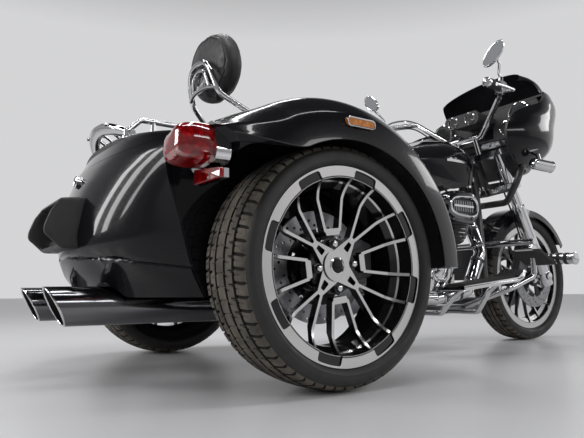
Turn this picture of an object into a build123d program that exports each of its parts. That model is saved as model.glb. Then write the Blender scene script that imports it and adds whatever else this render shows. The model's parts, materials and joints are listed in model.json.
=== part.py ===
from build123d import *
import os
from math import cos, radians, sin, tan

os.makedirs("parts", exist_ok=True)

# A three-wheeled motorcycle: one steered wheel in front, two wheels on a live axle behind.
# +X is forward, +Y is left, +Z is up. The origin is on the floor under the middle of the box.

# Wheels and stance
wheelbase = 1670.0
rear_axle_x = -665.0
front_axle_x = rear_axle_x + wheelbase
rear_half_track = 556.0
rear_tyre_radius = 309.0
front_tyre_radius = 309.0
rear_tyre_width = 215.0
front_tyre_width = 130.0
rear_side_wall = 59.0
front_side_wall = 55.0
rear_lip_radius = rear_tyre_radius - rear_side_wall
front_lip_radius = front_tyre_radius - front_side_wall
rear_rim_width = 188.0
front_rim_width = 98.0
rim_flange = 7.0
bead_radius_drop = 21.0
barrel_wall = 8.0
pocket_depth = 4.0

# Running fits
shaft_clearance = 0.06
rear_stub_radius = 20.0
front_axle_radius = 12.5
steering_stem_radius = 17.0
lid_pin_radius = 6.0

# Steering geometry
steering_rake = 26.0
steering_trail = 100.0
fork_rake = 28.4
fork_half_spacing = 130.0
fork_slider_radius = 30.0
fork_tube_radius = 24.5
head_low_z = 752.0
head_high_z = 862.0
head_radius = 34.0
clamp_gap = 5.5

# Brakes
disc_radius = 150.0
disc_thickness = 6.0
front_disc_y = 75.0
rear_disc_inset = 34.0
caliper_gap = 5.0

# Rear fenders, measured from the axle line
tyre_body_gap = 8.5
body_half_width = rear_half_track - rear_tyre_width / 2 - tyre_body_gap
fender_outer_y = rear_half_track + 134.0
fender_crease_y = rear_half_track + 115.0
fender_crest_y = rear_half_track + 44.0
fender_lip_radius = rear_tyre_radius - 2.0
fender_crease_radius = rear_tyre_radius + 76.0
fender_crest_radius = rear_tyre_radius + 131.0
fender_inner_radius = rear_tyre_radius + 143.0
fender_well_radius = rear_tyre_radius + 63.0
fender_skin = 12.0

# Engine
crank_x = 230.0
crank_z = 330.0
cylinder_lean = 22.5
cylinder_core_radius = 58.0
fin_size = 150.0
fin_thickness = 5.0
fin_pitch = 13.0
fin_count = 9
barrel_base = 128.0
head_height = 62.0

# Exhaust
muffler_y = 172.0
muffler_z = 210.0
muffler_radius = 52.0
muffler_front_x = -260.0
muffler_top_x = -1281.0
muffler_bottom_x = -1226.0
muffler_tunnel_gap = 9.0

# Body
body_front_x = -430.0
body_floor_z = 300.0
axle_bay_x = rear_axle_x - 80.0
axle_bay_z = rear_tyre_radius + 89.0
trunk_wall = 12.0
body_top_z = 700.0
lid_gap = 6.0
lid_front_x = axle_bay_x - 20.0


def block(x_low, x_high, y_low, y_high, z_low, z_high):
    """A box between six planes."""
    centre = ((x_low + x_high) / 2, (y_low + y_high) / 2, (z_low + z_high) / 2)
    return Pos(*centre) * Box(x_high - x_low, y_high - y_low, z_high - z_low)


def rod(start, end, radius):
    """A round bar between two points."""
    along = Vector(*end) - Vector(*start)
    return extrude(Plane(origin=start, z_dir=along) * Circle(radius), amount=along.length)


def bent_tube(points, radius, bend, bore=0.0):
    """A round tube along straight runs joined by tangent arcs."""
    path = FilletPolyline(*points, radius=bend)
    section = Circle(radius)
    if bore > 0:
        section = section - Circle(bore)
    return sweep(Plane(origin=path @ 0, z_dir=path % 0) * section, path=path)


def side_plate(points, y_low, y_high, corner=0.0):
    """A slab with an outline in the side view, between two planes across the machine."""
    outline = FilletPolyline(*[(x, y_low, z) for x, z in points], radius=corner, close=True)
    return extrude(make_face(outline), amount=y_high - y_low, dir=(0, 1, 0))


def ring(profile, arc=360.0):
    """A body turned about the Y axis from (radius, y) points."""
    face = make_face(Polyline(*[(r, y, 0) for r, y in profile], close=True))
    return revolve(face, axis=Axis.Y, revolution_arc=arc)


def both(shape):
    """A right-hand piece and its mirrored left-hand one, as two solids."""
    return shape + mirror(shape, about=Plane.XZ)


def mirrored(shape):
    return mirror(shape, about=Plane.XZ)


def axis_x(z):
    """Where the steering axis is at a height."""
    return front_axle_x + steering_trail - z * tan(radians(steering_rake))


def leg_x(z):
    """Where a fork leg's middle is at a height."""
    return front_axle_x + 5.0 - (z - front_tyre_radius) * tan(radians(fork_rake))


# Tyres

def tyre(radius, width, lip_radius, rim_width):
    """A closed ring: bead, bulging side wall, shoulder and crowned tread."""
    bead = lip_radius - bead_radius_drop
    seat = rim_width / 2 - rim_flange
    half = width / 2
    shoulder_r = radius - 0.035 * width
    tread_y = 0.40 * width
    side_r = (lip_radius + shoulder_r) / 2
    lines = [
        Line((bead, -seat), (bead, seat)),
        Line((bead, seat), (lip_radius + 1, seat)),
        ThreePointArc((lip_radius + 1, seat), (side_r, half), (shoulder_r - 9, tread_y + 8)),
        Line((shoulder_r - 9, tread_y + 8), (shoulder_r, tread_y)),
        ThreePointArc((shoulder_r, tread_y), (radius, 0), (shoulder_r, -tread_y)),
        Line((shoulder_r, -tread_y), (shoulder_r - 9, -tread_y - 8)),
        ThreePointArc((shoulder_r - 9, -tread_y - 8), (side_r, -half), (lip_radius + 1, -seat)),
        Line((lip_radius + 1, -seat), (bead, -seat)),
    ]
    return revolve(make_face(lines), axis=Axis.Y)


# Rims: barrel, dished spokes and hub

def rim_barrel(lip_radius, rim_width):
    bead = lip_radius - bead_radius_drop
    half = rim_width / 2
    seat = half - rim_flange
    well = bead - 18
    profile = [
        (lip_radius, -half), (lip_radius, -seat), (bead, -seat), (bead, -0.5 * seat),
        (well, -0.3 * seat), (well, 0.3 * seat), (bead, 0.5 * seat), (bead, seat),
        (lip_radius, seat), (lip_radius, half), (bead - barrel_wall, seat),
        (bead - barrel_wall, 0.5 * seat + 4), (well - barrel_wall, 0.3 * seat + 4),
        (well - barrel_wall, -0.3 * seat - 4), (bead - barrel_wall, -0.5 * seat - 4),
        (bead - barrel_wall, -half),
    ]
    return ring(profile)


def limb(x_in, y_in, x_out, y_out, w_in, w_out):
    """A straight tapered spoke limb in the wheel's plane, as a flat face."""
    return make_face(Polyline((x_in, y_in - w_in), (x_out, y_out - w_out),
                              (x_out, y_out + w_out), (x_in, y_in + w_in), close=True))


def quarter_turns(shape):
    """A flat pattern and its three copies round the wheel."""
    whole = shape
    for turn in (90, 180, 270):
        whole = whole + Rot(0, 0, turn) * shape
    return whole


def spoke_pattern(fork_radius, tip_radius, fan):
    """Four forked arms and four U-shaped spokes, fanned out to even places on the rim."""
    tip_x = tip_radius * cos(radians(fan))
    tip_y = tip_radius * sin(radians(fan))
    window_in = 0.58 * fork_radius
    u_half = 0.26 * fork_radius
    u_bar = limb(fork_radius - 9, 0, fork_radius + 8, 0, u_half - 2, u_half + 3)
    arm = limb(25, 0, fork_radius + 4, 0, 30, 8)
    arm = arm - fillet(limb(window_in, 0, fork_radius - 12, 0, 9, 6).vertices(), 3)
    u_spoke = u_bar
    for side in (-1, 1):
        arm = arm + limb(fork_radius - 4, 5 * side, tip_x, tip_y * side, 4, 4)
        u_spoke = u_spoke + limb(fork_radius, u_half * side, tip_x, tip_y * side, 4, 4)
    return quarter_turns(u_spoke + Rot(0, 0, 45) * arm)


def rim_pockets(inner_radius, outer_radius, fan):
    """The eight notches in the rim's flat ring, each between two neighbouring spokes."""
    half_span = radians(45.0 / 2 - fan - 1.5)
    across = outer_radius * sin(half_span)
    sector = make_face([
        Line((inner_radius, -across), (outer_radius * cos(half_span), -across)),
        ThreePointArc((outer_radius * cos(half_span), -across), (outer_radius, 0),
                      (outer_radius * cos(half_span), across)),
        Line((outer_radius * cos(half_span), across), (inner_radius, across)),
        Line((inner_radius, across), (inner_radius, -across)),
    ])
    outer_corners = sector.vertices().sort_by(Axis.X)[-2:]
    sector = Rot(0, 0, 22.5) * fillet(outer_corners, 7)
    return quarter_turns(sector + Rot(0, 0, 45) * sector)


def in_wheel_plane(flat, turn, y_low, y_high):
    """A flat pattern thickened between two planes and turned to lie in the wheel."""
    solid = extrude(Pos(0, 0, -y_high) * flat, amount=y_high - y_low)
    return Rot(0, turn, 0) * Rot(90, 0, 0) * solid


def spokes(lip_radius, fork_radius, face_hub, face_lip, thickness, turn):
    """The spoke pattern cut from a dished disc. Faces are offsets towards -Y."""
    tip = lip_radius - bead_radius_drop - barrel_wall + 1
    bend = 0.70 * lip_radius
    dish_lines = [
        Line((20, -face_hub), (bend, -face_hub - 6)),
        ThreePointArc((bend, -face_hub - 6), ((bend + tip) / 2 + 4, -face_hub - 6 - 0.35 * (face_lip - face_hub)),
                      (tip, -face_lip)),
        Line((tip, -face_lip), (tip, -face_lip + thickness + 6)),
        Line((tip, -face_lip + thickness + 6), (bend - 6, -face_hub - 6 + thickness)),
        Line((bend - 6, -face_hub - 6 + thickness), (20, -face_hub + thickness + 6)),
        Line((20, -face_hub + thickness + 6), (20, -face_hub)),
    ]
    dish = revolve(make_face(dish_lines), axis=Axis.Y)
    return dish & in_wheel_plane(spoke_pattern(fork_radius, tip + 4, spoke_fan), turn, -260, 260)


def hub(face, back, radius, bore, bore_depth):
    """A hub from the cap face to its inner end, with a blind bore from the inner end."""
    body = Rot(90, 0, 0) * Pos(0, 0, (face - back) / 2) * Cylinder(radius, face + back)
    hole = Rot(90, 0, 0) * Pos(0, 0, -back + bore_depth / 2) * Cylinder(bore, bore_depth)
    return body - hole


def brake_disc(radius, hub_radius, thickness):
    plate = Rot(90, 0, 0) * Cylinder(radius, thickness)
    hole = Rot(90, 0, 0) * Cylinder(hub_radius, thickness + 2)
    return plate - hole


rear_place = Pos(rear_axle_x, -rear_half_track, rear_tyre_radius)
front_place = Pos(front_axle_x, 0, front_tyre_radius)

spoke_fan = 12.5
rear_spoke_turn = -7.0
front_spoke_turn = 5.0
rear_hub_face = 49.0
rear_hub_back = 48.0
rear_hub_radius = 40.0
lug_circle = 57.0
rear_rim = rim_barrel(rear_lip_radius, rear_rim_width)
rear_rim = rear_rim + spokes(rear_lip_radius, 88, 44, 88, 22, rear_spoke_turn)
rear_rim = rear_rim - in_wheel_plane(rim_pockets(rear_lip_radius - 40, rear_lip_radius - 5, spoke_fan), rear_spoke_turn,
                                     -rear_rim_width / 2 - 5, -rear_rim_width / 2 + pocket_depth)
rear_rim = rear_rim + hub(rear_hub_face, rear_hub_back, rear_hub_radius,
                          rear_stub_radius + shaft_clearance, rear_hub_back + 20)
lug_flange = Rot(90, 0, 0) * Pos(0, 0, 28) * Cylinder(lug_circle + 15, 12)
rear_rim = rear_rim + lug_flange
cap_recess = Rot(90, 0, 0) * Pos(0, 0, rear_hub_face) * Cylinder(22, 4)
rear_rim = rear_rim - cap_recess
for turn in (0, 90, 180, 270):
    lug_place = Rot(0, rear_spoke_turn + turn, 0) * Pos(lug_circle, 0, 0) * Rot(90, 0, 0)
    rear_rim = rear_rim + lug_place * Pos(0, 0, 36) * Cylinder(13, 14)
right_rim = rear_place * rear_rim
right_tyre = rear_place * tyre(rear_tyre_radius, rear_tyre_width, rear_lip_radius, rear_rim_width)
right_disc = rear_place * Pos(0, rear_disc_inset, 0) * brake_disc(disc_radius, rear_hub_radius, disc_thickness)

front_hub_half = 82.0
front_hub_radius = 32.0
front_rim = rim_barrel(front_lip_radius, front_rim_width)
front_rim = front_rim + spokes(front_lip_radius, 80, 12, 30, 18, front_spoke_turn)
front_hub = Rot(90, 0, 0) * Cylinder(front_hub_radius, 2 * front_hub_half)
front_bore = Rot(90, 0, 0) * Cylinder(front_axle_radius + shaft_clearance, 2 * front_hub_half + 10)
front_rim = front_place * (front_rim + front_hub - front_bore)
front_tyre = front_place * tyre(front_tyre_radius, front_tyre_width, front_lip_radius, front_rim_width)
front_disc = Pos(0, -front_disc_y, 0) * brake_disc(disc_radius, front_hub_radius, disc_thickness)
front_discs = front_place * both(front_disc)

# Rear axle, swing arm, shocks and rear calipers
axle_tube_radius = 36.0
axle_half = rear_half_track - rear_hub_back - 8.0
stub_end = rear_half_track + 19.0
rear_axle = rod((rear_axle_x, -axle_half, rear_tyre_radius), (rear_axle_x, axle_half, rear_tyre_radius), axle_tube_radius)
rear_axle = rear_axle + rod((rear_axle_x, -85, rear_tyre_radius), (rear_axle_x, 85, rear_tyre_radius), 80)
rear_axle = rear_axle + rod((rear_axle_x, -stub_end, rear_tyre_radius), (rear_axle_x, stub_end, rear_tyre_radius), rear_stub_radius)
caliper_flange = rod((rear_axle_x, -axle_half, rear_tyre_radius), (rear_axle_x, -axle_half + 10, rear_tyre_radius), 62)
rear_axle = rear_axle + both(caliper_flange)

swing_y = 250.0
swing_half = 20.0
swing_pivot_x = -190.0
swing_beam = side_plate([(swing_pivot_x + 30, 275), (rear_axle_x - 45, rear_tyre_radius - 34),
                         (rear_axle_x - 45, rear_tyre_radius + 41), (rear_axle_x + 60, rear_tyre_radius + 43),
                         (swing_pivot_x + 30, 335)], swing_y - swing_half, swing_y + swing_half, 12)
swing_cross = rod((swing_pivot_x, -swing_y, 305), (swing_pivot_x, swing_y, 305), 24)
swing_arm = both(swing_beam) + swing_cross - rear_axle

shock_y = 185.0
shock_low_x = -440.0
shock_low_z = 322.0
shock_high_x = -300.0
shock_radius = 26.0


def rear_disc_caliper():
    """A caliper that straddles the right rear disc, on a bracket from the axle flange."""
    disc_y = -rear_half_track + rear_disc_inset
    half = disc_thickness / 2 + caliper_gap
    body = side_plate([(rear_axle_x + 95, rear_tyre_radius - 39), (rear_axle_x + 165, rear_tyre_radius - 24),
                       (rear_axle_x + 165, rear_tyre_radius + 66), (rear_axle_x + 95, rear_tyre_radius + 86)], disc_y - half - 22, disc_y + half + 30, 10)
    slot = block(rear_axle_x - 200, rear_axle_x + disc_radius + 5, disc_y - half, disc_y + half, 100, 500)
    bracket = side_plate([(rear_axle_x + 20, rear_tyre_radius - 19), (rear_axle_x + 110, rear_tyre_radius - 19),
                          (rear_axle_x + 110, rear_tyre_radius + 31), (rear_axle_x + 20, rear_tyre_radius + 31)], -axle_half, -axle_half + 10)
    return body - slot + (bracket - rod((rear_axle_x, -600, rear_tyre_radius), (rear_axle_x, 0, rear_tyre_radius), 62))


rear_calipers = both(rear_disc_caliper())

# Rear fenders: a turned shell over each wheel and a tail that carries the lamp
fender_outline = [
    (fender_lip_radius, -fender_outer_y), (fender_crease_radius, -fender_crease_y),
    (fender_crest_radius - 18, -fender_crest_y - 38), (fender_crest_radius, -fender_crest_y),
    (fender_inner_radius, -body_half_width), (fender_well_radius, -body_half_width),
    (fender_well_radius, -fender_crease_y + fender_skin + 8), (fender_lip_radius + 4, -fender_outer_y + fender_skin),
]
fender_arc = 126.0
tail_turn = 141.0
tail_lip_radius = rear_tyre_radius + 131.0
tail_crease_radius = rear_tyre_radius + 161.0
tail_crest_radius = rear_tyre_radius + 178.0
tail_inner_radius = rear_tyre_radius + 191.0
tail_well_radius = rear_tyre_radius + 89.0


def fender_section(points, turn):
    """A fender section in the plane that holds the axle line at a turn from straight forward."""
    lift = radians(turn)
    return make_face(Polyline(*[(r * cos(lift), y, r * sin(lift)) for r, y in points], close=True))


tail_outline = [
    (tail_lip_radius, -fender_outer_y), (tail_crease_radius, -fender_crease_y),
    (tail_crest_radius - 8, -fender_crest_y - 38), (tail_crest_radius, -fender_crest_y),
    (tail_inner_radius, -body_half_width), (tail_well_radius, -body_half_width),
    (tail_well_radius, -fender_crease_y + fender_skin + 8), (tail_lip_radius - 25, -fender_outer_y + fender_skin),
]
right_fender = revolve(fender_section(fender_outline, 0), axis=Axis.Y, revolution_arc=-fender_arc)
right_fender = right_fender + loft([fender_section(fender_outline, fender_arc), fender_section(tail_outline, tail_turn)], ruled=True)
right_fender = Pos(rear_axle_x, 0, rear_tyre_radius) * right_fender

# Tail lamps on the fender tails, with their bezels and a reflector bar below
lamp_y = rear_half_track + 29.0
lamp_half_width = 66.0
lamp_front_x = -1030.0
lamp_low_z = 524.0


def lamp_outline(x, grow):
    """The lamp's rounded shape in a plane across the machine."""
    outer = -lamp_y - lamp_half_width - grow
    inner = -lamp_y + lamp_half_width + grow
    points = [(outer, lamp_low_z + 12 - grow), (inner, lamp_low_z - grow), (inner, lamp_low_z + 78 + grow),
              (outer + 20, lamp_low_z + 100 + grow)]
    return make_face(FilletPolyline(*[(x, y, z) for y, z in points], radius=20 + grow, close=True))


right_lens = loft([lamp_outline(lamp_front_x, 0), lamp_outline(lamp_front_x - 45, -2), lamp_outline(lamp_front_x - 82, -18)],
                  ruled=True)
right_lens = right_lens - right_fender
right_bezel = extrude(lamp_outline(lamp_front_x, 5), amount=36, dir=(1, 0, 0))
reflector_shape = [(-lamp_y + 34, 488), (-lamp_y + 34, lamp_low_z), (-lamp_y - 100, 506), (-lamp_y - 100, 486)]
reflector_face = make_face(Polyline(*[(lamp_front_x, y, z) for y, z in reflector_shape], close=True))
right_reflector = extrude(reflector_face, amount=9, dir=(-1, 0, 0)) - right_lens - right_fender
reflector_bracket = extrude(reflector_face, amount=12, dir=(1, 0, 0))
right_bezel = right_bezel + reflector_bracket - right_fender - right_lens

# Hollow body between the fenders: horizontal sections, each with a straight front and a bowed back
body_sections = [
    # height, x where the side ends, x of the back's middle
    (232.0, -950.0, -1120.0),
    (300.0, -985.0, -1175.0),
    (400.0, -1015.0, -1200.0),
    (592.0, -1062.0, -1152.0),
    (body_top_z, -1010.0, -1098.0),
]


def body_section(z, side_x, back_x, inset=0.0, front_x=body_front_x):
    half = body_half_width - inset
    edges = [
        Line((front_x, -half, z), (front_x, half, z)),
        Line((front_x, half, z), (side_x + inset, half, z)),
        ThreePointArc((side_x + inset, half, z), (back_x + inset, 0, z), (side_x + inset, -half, z)),
        Line((side_x + inset, -half, z), (front_x, -half, z)),
    ]
    return make_face(edges)


body_solid = loft([body_section(*row) for row in body_sections], ruled=True)
seam_back_z = 596.0
seam_front_z = body_top_z - 24
lid_half_width = body_half_width - 5.0
lid_skin = 14.0
lid_cutter = side_plate([(lid_front_x, seam_front_z), (-1300, seam_back_z), (-1300, 800), (lid_front_x, 800)],
                        -lid_half_width, lid_half_width)
lid_space = side_plate([(lid_front_x + lid_gap, seam_front_z - lid_gap), (-1300, seam_back_z - lid_gap), (-1300, 800),
                        (lid_front_x + lid_gap, 800)], -500, 500)
lid_hollow = loft([body_section(z, side_x, back_x, trunk_wall) for z, side_x, back_x in body_sections[3:]], ruled=True)
lid_hollow = lid_hollow & block(-1300, lid_front_x - lid_skin, -lid_half_width + lid_skin, lid_half_width - lid_skin,
                                500, body_top_z - lid_skin)
trunk_lid = (body_solid & lid_cutter) - lid_hollow
trunk_front_x = axle_bay_x - trunk_wall
trunk_space = loft([body_section(z, side_x, back_x, trunk_wall, trunk_front_x) for z, side_x, back_x in body_sections],
                   ruled=True)
trunk_space = trunk_space & block(-1300, trunk_front_x, -500, 500, body_floor_z, 800)
body_tub = body_solid - lid_space - trunk_space
body_tub = body_tub - block(axle_bay_x, 0, -500, 500, 0, axle_bay_z)
tunnel_radius = muffler_radius + muffler_tunnel_gap
for side in (-1, 1):
    tunnel_y = side * muffler_y
    tunnel = rod((-1400, tunnel_y, muffler_z), (0, tunnel_y, muffler_z), tunnel_radius)
    tunnel = tunnel + block(-1400, 0, tunnel_y - tunnel_radius, tunnel_y + tunnel_radius, 0, muffler_z)
    body_tub = body_tub - tunnel

# Lid hinge: a knuckle on the lid turns on a pin between two ears of the body, on each side
hinge_y = 300.0
hinge_x = lid_front_x + 24.0
hinge_z = body_top_z + 18.0
knuckle_half = 18.0
knuckle_radius = 12.0
ear_thickness = 6.0
ear_gap = 0.5
knuckle = rod((hinge_x, -hinge_y - knuckle_half, hinge_z), (hinge_x, -hinge_y + knuckle_half, hinge_z), knuckle_radius)
knuckle_bore = rod((hinge_x, -hinge_y - 60, hinge_z), (hinge_x, -hinge_y + 60, hinge_z), lid_pin_radius + shaft_clearance)
knuckle_arm = side_plate([(hinge_x, hinge_z - 10), (hinge_x, hinge_z + 10), (lid_front_x - 60, body_top_z + 8),
                          (lid_front_x - 60, body_top_z), (lid_front_x - 2, body_top_z), (lid_front_x + 4, body_top_z + 10)],
                         -hinge_y - knuckle_half, -hinge_y + knuckle_half)
trunk_lid = trunk_lid + both(knuckle + knuckle_arm - knuckle_bore)
ear_in = knuckle_half + ear_gap
ear_out = ear_in + ear_thickness
lid_pin = rod((hinge_x, -hinge_y - ear_out, hinge_z), (hinge_x, -hinge_y + ear_out, hinge_z), lid_pin_radius)
ears = None
for low, high in ((-ear_out, -ear_in), (ear_in, ear_out)):
    ear = block(hinge_x - 12, hinge_x + 12, -hinge_y + low, -hinge_y + high, body_top_z, hinge_z)
    ear = ear + rod((hinge_x, -hinge_y + low, hinge_z), (hinge_x, -hinge_y + high, hinge_z), knuckle_radius)
    ears = ear if ears is None else ears + ear
lid_hinges = both(lid_pin + ears)

# Lock barrel on the body's back, just below the lid's seam
trunk_lock = rod((-1172, 0, 572), (-1130, 0, 572), 17) - body_solid

# Luggage rack of round bars on the lid
rack_radius = 8.0
slat_radius = 5.0
rack_half = 170.0
rack_rail_z = 742.0
rack_front_x = -795.0
rack_bend_x = -1018.0
rack_end_x = -1078.0
slat_z = rack_rail_z - 28.0
rack_front = rod((rack_front_x - 8, -rack_half, rack_rail_z), (rack_front_x - 8, rack_half, rack_rail_z), rack_radius)
rack_rail = rod((rack_front_x - 8, -rack_half, rack_rail_z), (rack_bend_x, -rack_half, rack_rail_z), rack_radius)
rail_end = bent_tube([(rack_bend_x, -rack_half, rack_rail_z), (rack_end_x + 40, -rack_half, rack_rail_z),
                      (rack_end_x, -rack_half, body_top_z + 2)], rack_radius, 18)
# The rear hoop is a broad band that leans back from its two feet on the lid's rear edge.
hoop_foot_x = -1068.0
hoop_rise = 78.0
hoop_half = 190.0
hoop_plane = Plane(origin=(hoop_foot_x, 0, body_top_z - 4), x_dir=(0, 1, 0), z_dir=(0.68, 0, 0.73))
hoop_face = make_face([
    ThreePointArc((-hoop_half, 0), (0, hoop_rise), (hoop_half, 0)),
    Line((hoop_half, 0), (hoop_half - 38, 0)),
    ThreePointArc((hoop_half - 38, 0), (0, hoop_rise - 38), (-hoop_half + 38, 0)),
    Line((-hoop_half + 38, 0), (-hoop_half, 0)),
])
rack_hoop = extrude(hoop_plane * hoop_face, amount=8, both=True)
rack_hoop = fillet(rack_hoop.edges().filter_by(GeomType.CIRCLE), 5)
luggage_rack = rack_hoop + rack_front + both(rack_rail + rail_end)
for slat_y in (-96, -32, 32, 96):
    slat = bent_tube([(rack_front_x - 8, slat_y, rack_rail_z - 6), (rack_front_x - 45, slat_y, slat_z), (-1050, slat_y, slat_z),
                      (-1082, slat_y, slat_z + 20), (-1122, slat_y, slat_z + 20)], slat_radius, 18)
    luggage_rack = luggage_rack + slat
for post_x in (-840, -1000):
    luggage_rack = luggage_rack + both(rod((post_x, -rack_half, body_top_z), (post_x, -rack_half, rack_rail_z), 7))
luggage_rack = luggage_rack - trunk_lid

# Licence-plate housing: a rounded box that opens to the back, with ribs and a raised pad for the plate
plate_half = 128.0
plate_rim = 14.0
plate_wall_x = -1208.0
plate_box = side_plate([(-1140, 366), (-1232, 364), (-1279, 406), (-1279, 424), (-1262, 470), (-1238, 505), (-1140, 515)],
                       -plate_half, plate_half, 10)
plate_recess = side_plate([(-1300, 377), (plate_wall_x, 377), (plate_wall_x, 492), (-1300, 492)],
                          -plate_half + plate_rim, plate_half - plate_rim, 6)
plate_pad = block(plate_wall_x - 3, plate_wall_x, -98, 98, 405, 482)
plate_housing = plate_box - plate_recess + plate_pad
for rib_z in (382, 389, 396):
    plate_housing = plate_housing + block(plate_wall_x - 12, plate_wall_x, -plate_half + plate_rim, plate_half - plate_rim,
                                          rib_z, rib_z + 3)
plate_housing = plate_housing - body_solid

# Mufflers with slash-cut open tips
muffler_bar = rod((-1320, -muffler_y, muffler_z), (muffler_front_x, -muffler_y, muffler_z), muffler_radius)
muffler_bore = rod((-1330, -muffler_y, muffler_z), (-1100, -muffler_y, muffler_z), muffler_radius - 6)
slash = side_plate([(muffler_top_x, muffler_z + muffler_radius), (muffler_bottom_x, muffler_z - muffler_radius),
                    (muffler_bottom_x + 10, 100), (-1400, 100), (-1400, 300), (muffler_top_x - 20, 300)],
                   -muffler_y - 80, -muffler_y + 80)
right_muffler = muffler_bar - muffler_bore - slash

# Exhaust headers from both heads to the mufflers
header_radius = 24.0
front_header = bent_tube([(408, -84, 590), (452, -130, 560), (430, -205, 400), (330, -212, 240), (180, -172, muffler_z),
                          (muffler_front_x, -muffler_y, muffler_z)], header_radius, 45)
rear_header = bent_tube([(52, -84, 590), (5, -120, 575), (30, -196, 450), (120, -205, 270), (60, -172, muffler_z), (-60, -172, muffler_z)],
                        header_radius, 40)
cross_x = -90.0
crossover = rod((cross_x, -muffler_y, muffler_z), (cross_x, muffler_y, muffler_z), header_radius - 2)
left_pipe = rod((cross_x + 30, muffler_y, muffler_z), (muffler_front_x, muffler_y, muffler_z), header_radius)
crossover = crossover + left_pipe
exhaust_pipes = front_header + rear_header + crossover

# Engine: crankcase, two finned cylinders in a V, rocker covers, push-rod tubes and covers
crankcase = side_plate([(crank_x - 120, 190), (crank_x + 130, 190), (crank_x + 165, 260), (crank_x + 150, 400),
                        (crank_x + 70, 462), (crank_x - 70, 462), (crank_x - 150, 430), (crank_x - 420, 430),
                        (crank_x - 420, 250), (crank_x - 150, 238)], -95, 95, 15)
crankcase = crankcase - swing_arm


def cylinder_plane(lean, height):
    """A plane square to a cylinder's axis at a height above the crank."""
    tilt = radians(lean)
    origin = (crank_x + height * sin(tilt), 0, crank_z + height * cos(tilt))
    return Plane(origin=origin, x_dir=(cos(tilt), 0, -sin(tilt)), z_dir=(sin(tilt), 0, cos(tilt)))


def cylinder(lean):
    """A finned barrel and head in one piece."""
    top = barrel_base + fin_count * fin_pitch
    piece = extrude(cylinder_plane(lean, barrel_base - 30) * Circle(cylinder_core_radius), amount=top - barrel_base + 30 + head_height)
    for index in range(fin_count + 4):
        grow = 0 if index < fin_count else 12
        fin = cylinder_plane(lean, barrel_base + index * fin_pitch) * RectangleRounded(fin_size + grow - 14, fin_size + grow, 22)
        piece = piece + extrude(fin, amount=fin_thickness)
    return piece


def rocker_cover(lean):
    base = barrel_base + (fin_count + 4) * fin_pitch + 3
    lower = extrude(cylinder_plane(lean, base) * RectangleRounded(136, 158, 20), amount=26)
    upper = extrude(cylinder_plane(lean, base + 26) * RectangleRounded(116, 140, 18), amount=24)
    return lower + upper


cylinders = cylinder(cylinder_lean) + cylinder(-cylinder_lean) - crankcase
rocker_covers = rocker_cover(cylinder_lean) + rocker_cover(-cylinder_lean) - cylinders

cam_cover = side_plate([(crank_x - 105, 250), (crank_x + 40, 232), (crank_x + 110, 300), (crank_x + 95, 400),
                        (crank_x - 20, 440), (crank_x - 105, 380)], -140, -95, 28)
cam_disc = rod((crank_x + 5, -160, 335), (crank_x + 5, -140, 335), 62)
clutch_cover = side_plate([(crank_x - 385, 255), (crank_x - 180, 255), (crank_x - 180, 410), (crank_x - 385, 410)], -135, -95, 50)
primary_cover = side_plate([(crank_x - 385, 240), (crank_x + 60, 215), (crank_x + 130, 270), (crank_x + 130, 370),
                            (crank_x + 60, 425), (crank_x - 385, 425)], 95, 185, 70)
primary_disc = rod((crank_x - 290, 185, 330), (crank_x - 290, 200, 330), 72)
engine_covers = cam_cover + cam_disc + clutch_cover + primary_cover + primary_disc
exhaust_headers = exhaust_pipes - cylinders - rocker_covers - engine_covers

air_x = 250.0
air_z = 560.0
air_body = side_plate([(air_x - 98, air_z - 62), (air_x + 98, air_z - 62), (air_x + 98, air_z + 85), (air_x - 98, air_z + 85)],
                      -285, -215, 55)
air_throat = rod((crank_x, -215, air_z), (crank_x, -40, air_z), 34)
air_cleaner = air_body + (air_throat - cylinders - rocker_covers)

push_rods = None
for lean_side in (-1, 1):
    for spread in (16, 44):
        foot = (crank_x + lean_side * spread, -112, 430)
        top_height = barrel_base + fin_count * fin_pitch
        top = (crank_x + lean_side * (spread + 10) + lean_side * top_height * sin(radians(cylinder_lean)) * 0.75, -88,
               crank_z + top_height * cos(radians(cylinder_lean)) + 20)
        tube = rod(foot, top, 9)
        push_rods = tube if push_rods is None else push_rods + tube
pushrod_tubes = push_rods - cylinders - crankcase - engine_covers - air_cleaner

# Frame: head tube, backbone, cradle and seat rails
head_low = (axis_x(head_low_z), 0, head_low_z)
head_high = (axis_x(head_high_z), 0, head_high_z)
head_tube = rod(head_low, head_high, head_radius)
head_bore = rod(head_low, head_high, steering_stem_radius + shaft_clearance)
backbone = bent_tube([(axis_x(825) - 20, 0, 825), (480, 0, 800), (120, 0, 735), (-230, 0, 640)], 30, 120)
frame_backbone = backbone + head_tube - head_bore
rail_y = 128.0
cradle_side = bent_tube([(650, -22, 798), (605, -75, 560), (560, -rail_y, 220), (470, -rail_y, 165), (-120, -rail_y, 165),
                         (-225, -rail_y, 250), (-240, -rail_y, 560), (-420, -rail_y, 640)], 17, 50)
cradle_cross = rod((-236, -rail_y, 480), (-236, rail_y, 480), 17) + rod((540, -rail_y, 195), (540, rail_y, 195), 17)
frame_cradle = both(cradle_side) + cradle_cross - frame_backbone - rod(head_low, head_high, head_radius)

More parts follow.
